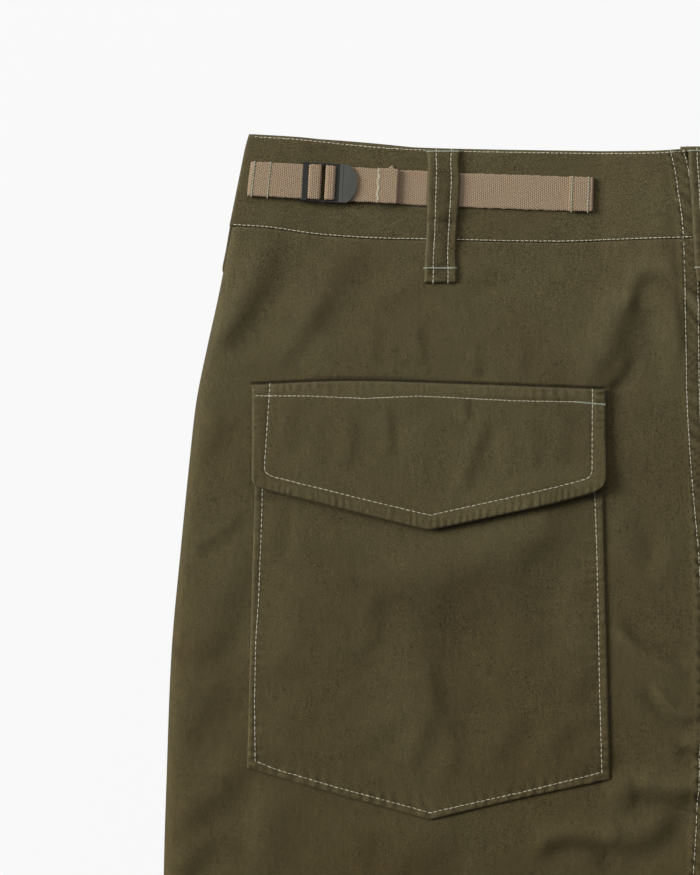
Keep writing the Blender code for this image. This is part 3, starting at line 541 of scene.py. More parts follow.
def new_group(name, kind, inputs, outputs):
    """A node group with named sockets, what comes into it and what goes out."""
    tree = bpy.data.node_groups.new(name, kind)
    for direction, sockets in (("INPUT", inputs), ("OUTPUT", outputs)):
        for label, socket in sockets:
            tree.interface.new_socket(label, in_out=direction, socket_type="NodeSocket" + socket)
    return tree, tree.nodes.new("NodeGroupInput").outputs, tree.nodes.new("NodeGroupOutput").inputs


def evenly(places, step):
    """The same path with places a step apart, and its distance travelled."""
    travelled = np.concatenate([[0.0], np.cumsum(np.linalg.norm(np.diff(places, axis=0), axis=1))])
    wanted = np.unique(np.concatenate([travelled, np.arange(0.0, travelled[-1], step)]))
    wanted = wanted[np.concatenate([[True], np.diff(wanted) > 0.02])]
    columns = [np.interp(wanted, travelled, places[:, axis]) for axis in range(places.shape[1])]
    return np.stack(columns, axis=-1), wanted


def stitch_tree():
    """Stitches along a path, each one rounded, dipping at its ends and a little uneven."""
    sizes = [(name, "Float") for name in ("Pitch", "Stitch Length", "Thread Radius", "Turn", "Unevenness")]
    sockets = [("Geometry", "Geometry")] + sizes + [("Thread", "Material")]
    tree, given, out = new_group("row of stitches", "GeometryNodeTree", sockets, sockets[:1])
    curve = put(tree, "GeometryNodeMeshToCurve", {"Mesh": given["Geometry"]})
    spaced = {"Curve": curve.outputs[0], "Length": given["Pitch"]}
    places = put(tree, "GeometryNodeCurveToPoints", spaced, mode="LENGTH")
    wander = put(tree, "FunctionNodeRandomValue", {0: (-1.0, -1.0, -0.2), 1: (1.0, 1.0, 0.2), "Seed": 5})
    wander.data_type = "FLOAT_VECTOR"
    scaled = {0: wander.outputs[0], "Scale": given["Unevenness"]}
    offset = put(tree, "ShaderNodeVectorMath", scaled, operation="SCALE").outputs[0]
    moved = put(tree, "GeometryNodeSetPosition", {"Geometry": places.outputs["Points"], "Offset": offset})
    faced = put(tree, "FunctionNodeAlignRotationToVector", {"Vector": places.outputs["Tangent"]}, axis="X")
    slant = put(tree, "FunctionNodeRandomValue", {"Min": -0.09, "Max": 0.09, "Seed": 8}, data_type="FLOAT")
    slant = math_of(tree, "ADD", slant.outputs[1], given["Turn"])
    slant = put(tree, "ShaderNodeCombineXYZ", {2: slant})
    turns = {0: faced.outputs[0], 1: slant.outputs[0]}
    faced = put(tree, "FunctionNodeRotateRotation", turns, rotation_space="LOCAL").outputs[0]
    varied = put(tree, "FunctionNodeRandomValue", {"Min": 0.42, "Max": 0.54, "Seed": 9}, data_type="FLOAT")
    thick = put(tree, "FunctionNodeRandomValue", {"Min": 0.85, "Max": 1.12, "Seed": 10}, data_type="FLOAT")
    half = math_of(tree, "MULTIPLY", given["Stitch Length"], varied.outputs[1])
    radius = math_of(tree, "MULTIPLY", given["Thread Radius"], thick.outputs[1])
    size = put(tree, "ShaderNodeCombineXYZ", {0: half, 1: radius, 2: radius})
    bead = put(tree, "GeometryNodeMeshUVSphere", {"Segments": 6, "Rings": 6, "Radius": 1.0})
    turned = put(tree, "GeometryNodeTransform", {0: bead.outputs[0], "Rotation": (0.0, math.pi / 2.0, 0.0)})
    place = put(tree, "ShaderNodeSeparateXYZ", {0: tree.nodes.new("GeometryNodeInputPosition").outputs[0]})
    blunt = math_of(tree, "POWER", math_of(tree, "ABSOLUTE", place.outputs[0]), 0.6)
    blunt = math_of(tree, "MULTIPLY", blunt, math_of(tree, "SIGN", place.outputs[0]))
    blunt = put(tree, "ShaderNodeCombineXYZ", {0: blunt, 1: place.outputs[1], 2: place.outputs[2]})
    bead = put(tree, "GeometryNodeSetPosition", {"Geometry": turned.outputs[0], "Position": blunt.outputs[0]})
    beads = {
        "Points": moved.outputs[0],
        "Instance": bead.outputs[0],
        "Rotation": faced,
        "Scale": size.outputs[0],
    }
    stitches = put(tree, "GeometryNodeInstanceOnPoints", beads)
    real = put(tree, "GeometryNodeRealizeInstances", {0: stitches.outputs[0]})
    smooth = put(tree, "GeometryNodeSetShadeSmooth", {0: real.outputs[0]})
    finished = put(tree, "GeometryNodeSetMaterial", {0: smooth.outputs[0], "Material": given["Thread"]})
    tree.links.new(finished.outputs[0], out[0])
    return tree


def thread_finish(name, colour):
    """Spun cotton sewing thread with a fine twist."""
    made, tree, shader = material(name, {"Roughness": 0.75, "Specular IOR Level": 0.3})
    fibre = noise(tree, object_places(tree), 1300.0, 2.0)
    shade = grey(tree, ranged(tree, fibre, 0.25, 0.75, 0.72, 1.12))
    colour = blended(tree, "MULTIPLY", 1.0, (*colour, 1.0), shade)
    wire(tree, shader, {"Base Color": colour, "Normal": bumped(tree, fibre, 0.5, 0.0001)})
    return made


THREAD_RADIUS = 0.25
SEAM_PITCH = 2.54
SEAM_STITCH = 2.25
STITCH_TREE = stitch_tree()
NATURAL_THREAD = thread_finish("natural cotton thread", (0.66, 0.62, 0.47))


def sewn(
    name,
    rows,
    pitch=SEAM_PITCH,
    stitch=SEAM_STITCH,
    radius=THREAD_RADIUS,
    turn=0.0,
    wander=0.06,
    thread=NATURAL_THREAD,
):
    """Stitches along each row of (across, down, height), as one piece of thread."""
    places, links = [], []
    for row in rows:
        line = evenly(np.array(row, float), 0.9)[0]
        first = len(places)
        places += [((across, OUTSEAM / 2.0 - down, height)) for across, down, height in line]
        links += [(number, number + 1) for number in range(first, len(places) - 1)]
    mesh = bpy.data.meshes.new(name)
    mesh.from_pydata([tuple(value * MM for value in place) for place in places], links, [])
    path = linked(name + "_path", mesh)
    rows_of = path.modifiers.new("stitches", "NODES")
    rows_of.node_group = STITCH_TREE
    items = STITCH_TREE.interface.items_tree
    sockets = {item.name: item.identifier for item in items if item.in_out == "INPUT"}
    sizes = (("Pitch", pitch), ("Stitch Length", stitch), ("Thread Radius", radius), ("Unevenness", wander))
    for label, value in sizes:
        rows_of[sockets[label]] = value * MM
    rows_of[sockets["Turn"]] = turn
    rows_of[sockets["Thread"]] = thread
    solid = path.evaluated_get(bpy.context.evaluated_depsgraph_get())
    made = linked(name, bpy.data.meshes.new_from_object(solid))
    bpy.data.objects.remove(path)
    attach(made, "root")
    return made


def on_cloth(row, surface, sink=0.12):
    """A row of (across, down) laid on a surface, its thread pulled a little into the cloth."""
    line = evenly(np.array(row, float), 0.9)[0]
    level = surface(line[:, 0], line[:, 1]) + THREAD_RADIUS - sink
    return np.column_stack([line, level])


def mirrored(side, row, seed=0):
    """A row read on the left half: as it is there, or on the right half a little differently."""
    row = np.array(row, float)
    if side < 0:
        return row
    drift = np.random.default_rng(seed).uniform(-0.4, 0.4, row.shape)
    return row * (-1.0, 1.0) + drift


def twill_group():
    """Garment-washed cotton twill: ribs, uneven yarn, faded patches, and a per-point attribute that pales
    edges and tops as wear and painted highlight, and darkens hollows as painted shade.
    """
    colours = [(name, "Color") for name in ("Colour", "Warm Colour", "Pale Colour")]
    sockets = [("Vector", "Vector")] + colours + [("Rib Depth", "Float")]
    results = (("Colour", "Color"), ("Height", "Float"))
    tree, given, out = new_group("washed twill", "ShaderNodeTree", sockets, results)
    turned = put(tree, "ShaderNodeMapping", {"Vector": given["Vector"], "Rotation": (0.0, 0.0, 0.6)})
    bands = {
        "Vector": turned.outputs[0],
        "Scale": 385.0,
        "Distortion": 0.9,
        "Detail": 1.0,
        "Detail Scale": 2.2,
    }
    ribs = put(tree, "ShaderNodeTexWave", bands, wave_type="BANDS", bands_direction="X").outputs[1]
    yarn = noise(tree, given["Vector"], 2100.0, 1.0)
    drawn = put(tree, "ShaderNodeMapping", {"Vector": given["Vector"], "Scale": (1.0, 0.16, 1.0)})
    slubs = noise(tree, drawn.outputs[0], 700.0, 2.0)
    patches = noise(tree, given["Vector"], 14.0, 3.0)
    clouds = noise(tree, given["Vector"], 75.0, 3.0)
    base = blended(tree, "MIX", ranged(tree, patches, 0.42, 0.66), given["Colour"], given["Warm Colour"])
    wear_and_shade = put(tree, "ShaderNodeAttribute", {}, attribute_name="wear_and_shade").outputs["Fac"]
    # Above nothing, the attribute pales the cloth, as wear and in part as painted highlight.
    base = blended(tree, "MIX", ranged(tree, wear_and_shade), base, given["Pale Colour"])
    place = put(tree, "ShaderNodeSeparateXYZ", {0: object_places(tree)})
    base = blended(tree, "MULTIPLY", ranged(tree, place.outputs[1], 0.425, 0.125), base, BROWNED)
    tone = math_of(tree, "MULTIPLY", yarn, 2.7)
    for part, strength in ((slubs, 0.5), (ribs, 0.32), (clouds, 0.24)):
        tone = plus(tree, tone, part, strength)
    # Below nothing, the attribute darkens the cloth as painted shade in troughs, hollows and grooves.
    painted_hollow_shade = ranged(tree, wear_and_shade, 0.0, -1.0, 0.0, -0.75)
    tone = math_of(tree, "ADD", tone, math_of(tree, "ADD", painted_hollow_shade, -0.88))
    depth = math_of(tree, "MULTIPLY", ribs, given["Rib Depth"])
    height = plus(tree, plus(tree, depth, yarn, 0.7), clouds, 1.2)
    tree.links.new(blended(tree, "MULTIPLY", 1.0, base, grey(tree, tone)), out["Colour"])
    tree.links.new(height, out["Height"])
    return tree


OLIVE = (0.0860, 0.0705, 0.0305, 1.0)
OLIVE_WARM = (0.0830, 0.0640, 0.0265, 1.0)
OLIVE_PALE = (0.128, 0.108, 0.054, 1.0)
BROWNED = (0.965, 0.915, 0.82, 1.0)
TWILL_GROUP = twill_group()


def twill(name, grain=0.0):
    """The trousers' cloth, with its ribs turned to the cut of one piece."""
    values = {"Roughness": 0.88, "Specular IOR Level": 0.22, "Sheen Weight": 0.02, "Sheen Roughness": 0.6}
    made, tree, shader = material(name, values)
    cut = put(tree, "ShaderNodeMapping", {"Vector": object_places(tree), "Rotation": (0.0, 0.0, grain)})
    given = {"Vector": cut.outputs[0], "Colour": OLIVE, "Warm Colour": OLIVE_WARM, "Pale Colour": OLIVE_PALE}
    weave = put(tree, "ShaderNodeGroup", {**given, "Rib Depth": 0.8}, node_tree=TWILL_GROUP).outputs
    raised = bumped(tree, weave["Height"], 0.5, 0.00022)
    wire(tree, shader, {"Base Color": weave["Colour"], "Normal": raised})
    return made


BAND_CLOTH = 1.6
BAND_LOFT = 0.5
BAND_BULGE = 4.6
TUCK_CLOTH = 0.12
TUCK_BELOW = 0.2


def band_under(side, across, down):
    """Height of the back waistband's inner face."""
    outward = side * across
    from_side = read(SIDE_EDGE, down) - outward
    loft = BAND_LOFT * eased(share(from_side, 0.0, BAND_REACH))
    return BAND_CLOTH + SEAM_GAP + loft + side_lift(outward, down) + centre_bulge(across, down, BAND_BULGE)


def tuck_level(side, outward, down):
    """Height of the seam allowance where the panel runs on under the waistband."""
    return band_under(side, side * outward, down) - TUCK_BELOW


ROLL_ANGLES = np.linspace(0.0, math.pi / 2.0, 9)
ROLL_RADIUS = 5.0
ROLL_WALL = 1.1
FLAT_STEPS = np.array([6.2, 7.4, 8.5, 9.3, 10.0, 11.2, 13.0, 15.2, 17.5])
FELL_STEPS = np.array(
    [0.0, 0.15, 0.6, 1.3, 2.1, 3.0, 3.9, 5.0, 6.2, 7.4, 8.4, 9.2, 9.9, 10.6, 11.4, 12.4, 13.8, 15.6]
)
SEAT_ROW_STEP = 2.2
LEG_ROW_STEP = 6.6
COLUMN_STEP = 2.2
PANEL_LENGTH = 992.3
LEG_ROWS_END = 966.0
WAIST_ROWS = (-2.4, -0.03, 0.05, 0.3, 0.7, 1.3)
FLAP_HEAD_ROWS = np.arange(75.3, 82.0, 0.45)
HEM_ROWS = (
    967.5, 969.2, 970.2, 971.2, 972.4, 975.0, 979.0, 983.0, 987.0, 990.2, 991.2, 991.9, PANEL_LENGTH
)
SIDE_SEAM_OUT = 256.0

# The right half, of which the view shows a strip, has coarser grids.
WIDER = {-1: 1.0, 1: 1.4}


def near_waist(starts):
    """1 at the top edge of a panel, nothing from 90 mm below it."""
    return share(starts, 90.0, 0.3)


def panel_side(starts):
    """Outward place of a panel's side edge on its rows, which follow the waist seam at the top."""
    seam = mix(WAIST_SEAM_LEVEL, read(WAIST_SEAM, SIDE_SEAM_OUT), near_waist(starts))
    return read(SIDE_EDGE, starts + seam)


def back_half(side, name, finish):
    """Half of the back, rolled over the front at its edges and finely creased."""
    seat = np.arange(0.3, CROTCH + 20.0 - WAIST_SEAM_LEVEL, SEAT_ROW_STEP * WIDER[side])
    seat = np.sort(np.concatenate([seat, FLAP_HEAD_ROWS]))
    legs = np.arange(seat[-1] + LEG_ROW_STEP, LEG_ROWS_END, LEG_ROW_STEP * WIDER[side])
    starts = np.concatenate([WAIST_ROWS, seat[1:], legs, HEM_ROWS])[:, None]
    level = starts + WAIST_SEAM_LEVEL
    inner = inner_limit(side, level)
    outer = panel_side(starts)
    below = share(level, CROTCH - 4.0, CROTCH + 8.0)
    turned = 1.0 - np.cos(ROLL_ANGLES)
    roll_in = np.concatenate([ROLL_RADIUS * turned, FLAT_STEPS])
    wall_in = np.concatenate([ROLL_WALL + (ROLL_RADIUS - ROLL_WALL) * turned, FLAT_STEPS])
    roll_share = np.concatenate([np.sin(ROLL_ANGLES), np.ones(len(FLAT_STEPS))])
    wall_share = np.concatenate([np.sin(ROLL_ANGLES) ** 0.6, np.ones(len(FLAT_STEPS))])
    count = int(270.0 / COLUMN_STEP / WIDER[side])
    middle = np.linspace(0.0, 1.0, count + 2)[1:-1]
    grids = []
    faces = ((roll_in, roll_share, rounded(FELL_STEPS, 0.9)), (wall_in, wall_share, 1.0))
    for inset, height_share, fell in faces:
        first = inner + mix(FELL_STEPS, inset, below)
        last = outer - inset[::-1]
        between = mix(first[:, -1:], last[:, :1], middle)
        outward = np.concatenate([first, between, last], axis=1)
        shares = np.ones(outward.shape)
        fell_share = mix(0.55, 1.0, fell) if inset is roll_in else 1.0
        shares[:, : len(inset)] = mix(fell_share, height_share, below)
        shares[:, -len(inset) :] = height_share[::-1]
        down = starts + mix(WAIST_SEAM_LEVEL, read(WAIST_SEAM, outward), near_waist(starts))
        grids.append((outward, down, shares))
    over_loop = share(level, SIDE_LOOP_FOOT + 14.0, SIDE_LOOP_FOOT + 3.0)
    side_rim = mix(RIM_HEIGHT, 1.65, over_loop)
    walls = []
    for (outward, down, shares), is_top in zip(grids, (True, False)):
        rim = np.where(np.arange(outward.shape[1]) > outward.shape[1] / 2, side_rim, RIM_HEIGHT)
        full = body_under(side, side * outward, down)
        if is_top:
            cut = np.minimum(starts - 0.3, PANEL_LENGTH - starts)
            full = mix(full, body_top(side, side * outward, down), mix(0.72, 1.0, rounded(cut, 1.0)))
            full = np.where(starts < 0.0, tuck_level(side, outward, down) + TUCK_CLOTH, full)
        else:
            full = np.where(starts < 0.0, tuck_level(side, outward, down), full)
        height = mix(rim, full, shares)
        walls.append(grid(side * outward, down, height))
    outward, down, shares = grids[0]
    ridges = body_creases(side * outward, down)
    at_hem = share(down, OUTSEAM - 4.0, OUTSEAM)
    # Crease ridges are paled as wear and painted highlight, and crease troughs darkened as painted shade.
    wear_and_shade = 0.04 + 0.10 * ridges + 0.3 * share(shares, 1.0, 0.4) + 0.3 * at_hem
    # The groove under each flap's head and the fell's hollows and row grooves are darkened as painted shade.
    wear_and_shade += 0.12 * share(starts, 3.0, 0.0) - 0.8 * flap_pressed(outward, down)
    wear_and_shade += fell_wear_and_shade(side, outward - inner, down)
    return shell(name, walls[0], walls[1], finish, wear_and_shade=wear_and_shade)


HEM_ROW_DOWN = OUTSEAM - 20.0

for side, hand in HALVES:
    piece = back_half(side, f"back_{hand}_panel", twill(f"back {hand} twill"))
    laid(piece, f"back_{hand}")
    rows = seat_rows(np.arange(60.0, CROTCH - 2.0, 2.0)) if side < 0 else []
    hem = (read(INSEAM, HEM_ROW_DOWN) + 5.0, read(SIDE_EDGE, HEM_ROW_DOWN) - 5.0)
    rows.append([(side * outward, HEM_ROW_DOWN) for outward in hem])
    surface = lambda across, down: body_top(side, across, down)
    sewn(f"thread_back_{hand}", [on_cloth(row, surface) for row in rows])


# Fronts of the legs: two more pieces of the same twill, which lie flat on the surface under
# the backs. They meet down the centre over the fly, and lift only over what is sewn there.

BAND_HEIGHT = 47.5
FRONT_WAIST_DIP = 15.0
LEFT_LAP_END = 14.0
RIGHT_LAP_END = 18.0
BUTTON_LIFT = 2.3
RIGHT_LAP_LIFT = 4.2
FRONT_EDGE_INSET = 3.6
FRONT_STEP = 6.0
FRONT_RISE = 0.7
THREAD_ROOM = 0.25
FRONT_ROW_IN = 2.5
FLY_ROW_OUT = 34.0
FLY_ROW_FOOT = 176.0


def front_lift(side, across, down):
    """How far the loops and the closure under it lift the front."""
    along = share(down, 112.0, 74.0)
    if side < 0:
        lap = BUTTON_LIFT * share(across, -46.0, -LEFT_LAP_END)
    else:
        lap = RIGHT_LAP_LIFT * share(across, 50.0, LEFT_LAP_END + 3.0)
    return side_lift(side * across, down) + lap * along


def front_inner(down):
    return np.where(down > CROTCH + 4.0, read(INSEAM, down) + 2.4, SEAM_GAP / 2.0)


def front_under(side, across, down):
    """Height of the front cloth's outer face, which lies downwards, with its low creases."""
    outward = side * across
    from_edge = np.minimum(outward - front_inner(down), read(SIDE_EDGE, down) - outward)
    clear = eased(share(from_edge, 6.0, 34.0)) * eased(share(down, 96.0, 150.0))
    raised = 0.5 + 0.5 * unevenness(outward, down, 62.0, 48.0, 21 + side)
    raised += 0.25 * unevenness(outward, down, 19.0, 26.0, 31 + side)
    return front_lift(side, across, down) + THREAD_ROOM + FRONT_RISE * np.clip(raised, 0.0, 1.2) * clear


def front_waist(outward):
    """Down of the front waist edge, which dips at the centre."""
    return mix(FRONT_WAIST_DIP + 6.0, 1.5, eased(share(outward, 0.0, 240.0)))


def least(*distances):
    """The smallest of several distances at each place."""
    return np.min(np.broadcast_arrays(*distances), axis=0)


def front_half(side, name, finish):
    """Half of the front, with the low creases of cloth that lies under its own back."""
    foot = [969.5, 971.5, 980.0, 990.8, 991.8, PANEL_LENGTH]
    starts = np.concatenate([[0.3, 0.7, 1.4], np.arange(4.0, LEG_ROWS_END, FRONT_STEP), foot])[:, None]
    level = starts + WAIST_SEAM_LEVEL
    inner = front_inner(level)
    outer = panel_side(starts)
    outward = inner + (outer - FRONT_EDGE_INSET - inner) * stepped(0.0, 1.0, 0.004, 0.024, 0.06)
    dip = front_waist(outward) + BAND_HEIGHT - WAIST_SEAM_LEVEL
    down = level + dip * near_waist(starts)
    lift = front_under(side, side * outward, down)
    edge = least(outward - inner, outer - FRONT_EDGE_INSET - outward, PANEL_LENGTH - starts)
    hem = 0.5 * HEM_RISE * on_hem(down) * share(edge, 6.0, 20.0)
    across = side * outward
    thick = (CLOTH - THREAD_ROOM) * mix(0.5, 1.0, rounded(edge, 1.0)) + hem
    top = grid(across, down, lift + thick)
    under = grid(across, down, lift)
    wear_and_shade = 0.1 * lift + 0.4 * share(edge, 3.0, 0.0) + 0.0 * level
    return shell(name, top, under, finish, wear_and_shade=wear_and_shade)


for side, hand in HALVES:
    piece = front_half(side, f"front_{hand}_panel", twill(f"front {hand} twill"))
    laid(piece, f"front_{hand}")
    hem = (front_inner(HEM_ROW_DOWN) + 5.0, read(SIDE_EDGE, HEM_ROW_DOWN) - 8.0)
    rows = [[(side * outward, HEM_ROW_DOWN) for outward in hem]]
    line = np.arange(76.0, CROTCH - 4.0, 4.0)
    rows.append(np.column_stack([side * (SEAM_GAP / 2.0 + FRONT_ROW_IN) + 0.0 * line, line]))
    if side < 0:
        turn = np.linspace(0.0, math.pi / 2.0, 14)
        curve = [-4.0 - (FLY_ROW_OUT - 4.0) * np.cos(turn), FLY_ROW_FOOT + 34.0 * np.sin(turn)]
        rows.append([(-FLY_ROW_OUT, 76.0)] + list(zip(*curve)))
    under = lambda across, down: front_under(side, across, down) - THREAD_RADIUS - 0.02
    sewn(f"thread_front_{hand}", [on_cloth(row, under, 0.0) for row in rows], radius=0.2)


# Fly shield: a strip of the same twill sewn inside the front opening, behind the fly.

FLY_HALF_WIDTH = 20.0
FLY_FOOT = 215.0
FLY_CLOTH = 1.0

down, across = np.meshgrid(
    np.linspace(72.5, FLY_FOOT, 60), stepped(-FLY_HALF_WIDTH, FLY_HALF_WIDTH, 0.8, 2.0, 4.0), indexing="ij"
)
across = across * mix(1.0, 0.72, share(down, 190.0, FLY_FOOT) ** 2)
lowest = CLOTH + SEAM_GAP + 0.1 + RIGHT_LAP_LIFT * share(down, 112.0, 74.0)
edge = np.minimum(FLY_HALF_WIDTH - abs(across), FLY_FOOT - down)
top = grid(across, down, lowest + (FLY_CLOTH - 0.1) * mix(0.5, 1.0, rounded(edge, 0.8)))
under = grid(across, down, lowest)
piece = shell("fly_shield_strip", top, under, twill("fly shield twill"), wear_and_shade=0.1 + 0.0 * down)
laid(piece, "fly_shield")


# Waistband: a straight band of doubled twill round the top of both pairs of panels. Its left
# front end laps over the right one and buttons there. At the back each half is sewn into the
# felled seat seam.

BAND_TOP_ROW = 1.5
BAND_FOOT_ROW = 0.9
WAIST_EDGE = (
    (0, 7), (16.8, 8.6), (30.3, 9.2), (84.3, 8.6), (138.4, 7.6), (165.4, 6.5), (192.4, 4.3),
    (219.5, 1.6), (244.3, 0),
)


def band_relief(side, across, down):
    """Puckers between the two edge rows, and the grooves that the rows press in."""
    outward = side * across
    from_top = down - read(WAIST_EDGE, outward)
    from_foot = read(WAIST_SEAM, outward) - down
    soft = 0.16 * unevenness(across, down, 24.0, 17.0, 41) + 0.08 * unevenness(across, down, 8.0, 12.0, 42)
    near_edge = share(from_top, 7.0, 1.0) + share(from_foot, 8.0, 1.0)
    gathers = 0.12 * unevenness(across, down, 3.6, 20.0, 43) * near_edge
    rows = groove(from_top - BAND_TOP_ROW, 0.7) + groove(from_foot - BAND_FOOT_ROW, 0.7)
    return soft + gathers - 0.22 * rows


def band_top(side, across, down):
    rise = fell_rise(side, side * across, down)
    return band_under(side, across, down) + BAND_CLOTH + rise + band_relief(side, across, down)


def back_band(side, name, finish):
    """Half of the back waistband, with its share of the felled seat seam."""
    along = stepped(0.0, 1.0, 0.012, 0.045, 0.15)[:, None]
    level = mix(8.0, WAIST_SEAM_LEVEL, along)
    inner, outer = inner_limit(side, level), read(SIDE_EDGE, level)
    tuck = [-3.0, -0.35, -0.12] if side > 0 else []
    first = inner + np.concatenate([tuck, FELL_STEPS])
    last = outer - np.array([9.0, 6.0, 4.0, 2.6, 1.5, 0.8, 0.3, 0.0])
    middle = np.linspace(0.0, 1.0, 120)[1:-1]
    outward = np.concatenate([first, mix(first[:, -1:], last[:, :1], middle), last], axis=1)
    across = side * outward
    down = mix(read(WAIST_EDGE, outward), read(WAIST_SEAM, outward), along)
    lowest = band_under(side, across, down)
    from_top, from_foot = down - read(WAIST_EDGE, outward), read(WAIST_SEAM, outward) - down
    soft = rounded(from_top, 1.4) * mix(0.3, 1.0, rounded(from_foot, 1.6))
    soft *= mix(0.3, 1.0, rounded(outer - outward, 1.6))
    soft *= mix(0.5, 1.0, rounded(outward - inner, 0.8))
    height = mix(lowest, band_top(side, across, down), soft)
    lowest = lowest + 0.56 * (1.0 - rounded(from_top, 1.4))
    tucked = outward - inner < -0.05
    lowest = np.where(tucked, band_under(side, across, down) - TUCK_BELOW - TUCK_CLOTH, lowest)
    height = np.where(tucked, lowest + TUCK_CLOTH, height)
    wear_and_shade = 0.06 + 0.5 * share(from_top, 2.2, 0.0) + 0.22 * share(from_foot, 2.0, 0.0)
    # The fell's hollows and row grooves are darkened there as painted shade.
    wear_and_shade = wear_and_shade + 0.2 * share(outer - outward, 5.0, 0.0) + fell_wear_and_shade(side, outward - inner, down)
    top = grid(across, down, np.maximum(height, lowest + TUCK_CLOTH))
    return shell(name, top, grid(across, down, lowest), finish, wear_and_shade=wear_and_shade)


def front_band(side, name, finish):
    """Half of the front waistband, flat on the surface but for the closure."""
    end = -LEFT_LAP_END if side < 0 else -RIGHT_LAP_END
    along = stepped(0.0, 1.0, 0.02, 0.07, 0.2)[:, None]
    outer = read(SIDE_EDGE, mix(2.0, BAND_HEIGHT + 1.5, along)) - 2.6
    outward = mix(end, outer, stepped(0.0, 1.0, 0.004, 0.016, 0.05))
    down = front_waist(abs(outward)) + BAND_HEIGHT * along
    across = side * outward
    lift = front_lift(side, across, np.minimum(down, 74.0)) + THREAD_ROOM
    edge = least(outward - end, outer - outward, BAND_HEIGHT * along, BAND_HEIGHT * (1.0 - along))
    soft = mix(0.35, 1.0, rounded(edge, 1.3))
    thick = BAND_CLOTH - THREAD_ROOM
    top = grid(across, down, lift + thick * mix(0.7, 1.0, soft))
    under = grid(across, down, lift + thick * 0.3 * (1.0 - soft))
    wear_and_shade = 0.06 + 0.4 * share(edge, 2.4, 0.0)
    return shell(name, top, under, finish, wear_and_shade=wear_and_shade)


SEAT_ROWS_ON_BAND = 9.6

for side, hand in HALVES:
    piece = back_band(side, f"waistband_back_{hand}_half", twill(f"back band {hand} twill", 1.45))
    laid(piece, f"waistband_back_{hand}")
    piece = front_band(side, f"waistband_front_{hand}_half", twill(f"front band {hand} twill", 1.5))
    laid(piece, f"waistband_front_{hand}")
    surface = lambda across, down: band_top(side, across, down)
    outward = np.linspace(1.0 - 3.0 * side, 243.0, 60)
    rows = [np.column_stack([side * outward, read(WAIST_EDGE, outward) + BAND_TOP_ROW])]
    outward = np.linspace(1.0 - 3.0 * side, 254.5, 60)
    rows.append(np.column_stack([side * outward, read(WAIST_SEAM, outward) - BAND_FOOT_ROW]))
    if side < 0:
        rows += seat_rows(np.linspace(SEAT_ROWS_ON_BAND, 56.0, 20))
    sewn(f"thread_waistband_{hand}", [on_cloth(row, surface) for row in rows], pitch=2.46)


# Back pockets: a patch of twill on each back half, its edges turned in and sewn down close to
# the fold. It stands a little full, with its own soft creases.

PATCH_GAP = 0.4
POCKET_HEAD_DOWN = 143.0
POCKET_LOFT = 0.9
POCKET_ROW = (
    (-239.5, 186), (-240.2, 213.5), (-241.7, 251.4), (-243.2, 274.1), (-243.8, 305.9),
    (-243.5, 338.4), (-233, 342.7), (-200.5, 352.4), (-149.2, 366.2), (-99.2, 355.1),
    (-56.6, 344.6), (-57.8, 302.7), (-58.4, 273.5), (-59.2, 230.3), (-60.8, 186),
)
POCKET_OUTER = ((143.0, 243.0), (188.6, 243.8), (262.7, 245.9), (342.4, 248.0))
POCKET_INNER = ((143.0, 56.2), (191.9, 55.9), (273.5, 53.9), (348.4, 51.9))
POCKET_FOOT = ((51.9, 348.4), (99.2, 358.4), (149.2, 370.1), (200.5, 356.2), (248.0, 342.4))


def straight(table, at):
    """The second column beside a value of the first, on straight lines through the rows."""
    return np.interp(at, *np.array(table).T)


def pocket_loft(outward, side, down):
    """How far the pocket stands off the trousers, nothing at its sewn edges."""
    width_in = np.minimum(read(POCKET_OUTER, down) - outward, outward - read(POCKET_INNER, down))
    fullness = POCKET_LOFT + 0.25 * unevenness(side * outward, down, 21.0, 26.0, 55)
    foot_in = straight(POCKET_FOOT, outward) - down
    inside = eased(share(np.minimum(width_in, foot_in), 3.0, 34.0))
    return np.clip(fullness, 0.0, None) * inside


def seam_puckers(along, inward, pitch, seed, reach):
    """Puckers square to a sewn edge, strongest between the edge and its stitches."""
    reach = reach + 5.0 * unevenness(along, 0.0 * inward, 1.3 * pitch, 9.0, seed + 2)
    near_edge = eased(share(inward / reach, 1.0, 0.2))
    return gathered(along, inward, pitch, seed) * near_edge * share(inward, 0.0, 1.0)


def pocket_surface(side, across, down):
    """Underside, top, distance in from the sewn edge, and relief of a pocket."""
    outward = side * across
    from_side = np.minimum(read(POCKET_OUTER, down) - outward, outward - read(POCKET_INNER, down))
    from_foot = straight(POCKET_FOOT, outward) - down
    inward = np.minimum(from_side, from_foot)
    relief = 0.62 * seam_puckers(down, from_side, 5.5, 51, 13.0)
    relief += 0.58 * seam_puckers(outward, from_foot, 6.4, 53, 13.0)
    relief += 0.3 * share(inward, 4.8, 3.4) - pressed([mirrored(side, POCKET_ROW, 3)], across, down, 0.34)
    lowest = body_top(side, across, down) + PATCH_GAP + pocket_loft(outward, side, down)
    thick = (CLOTH + relief) * mix(0.25, 1.0, rounded(inward, 1.0))
    return lowest, lowest + thick, inward, relief


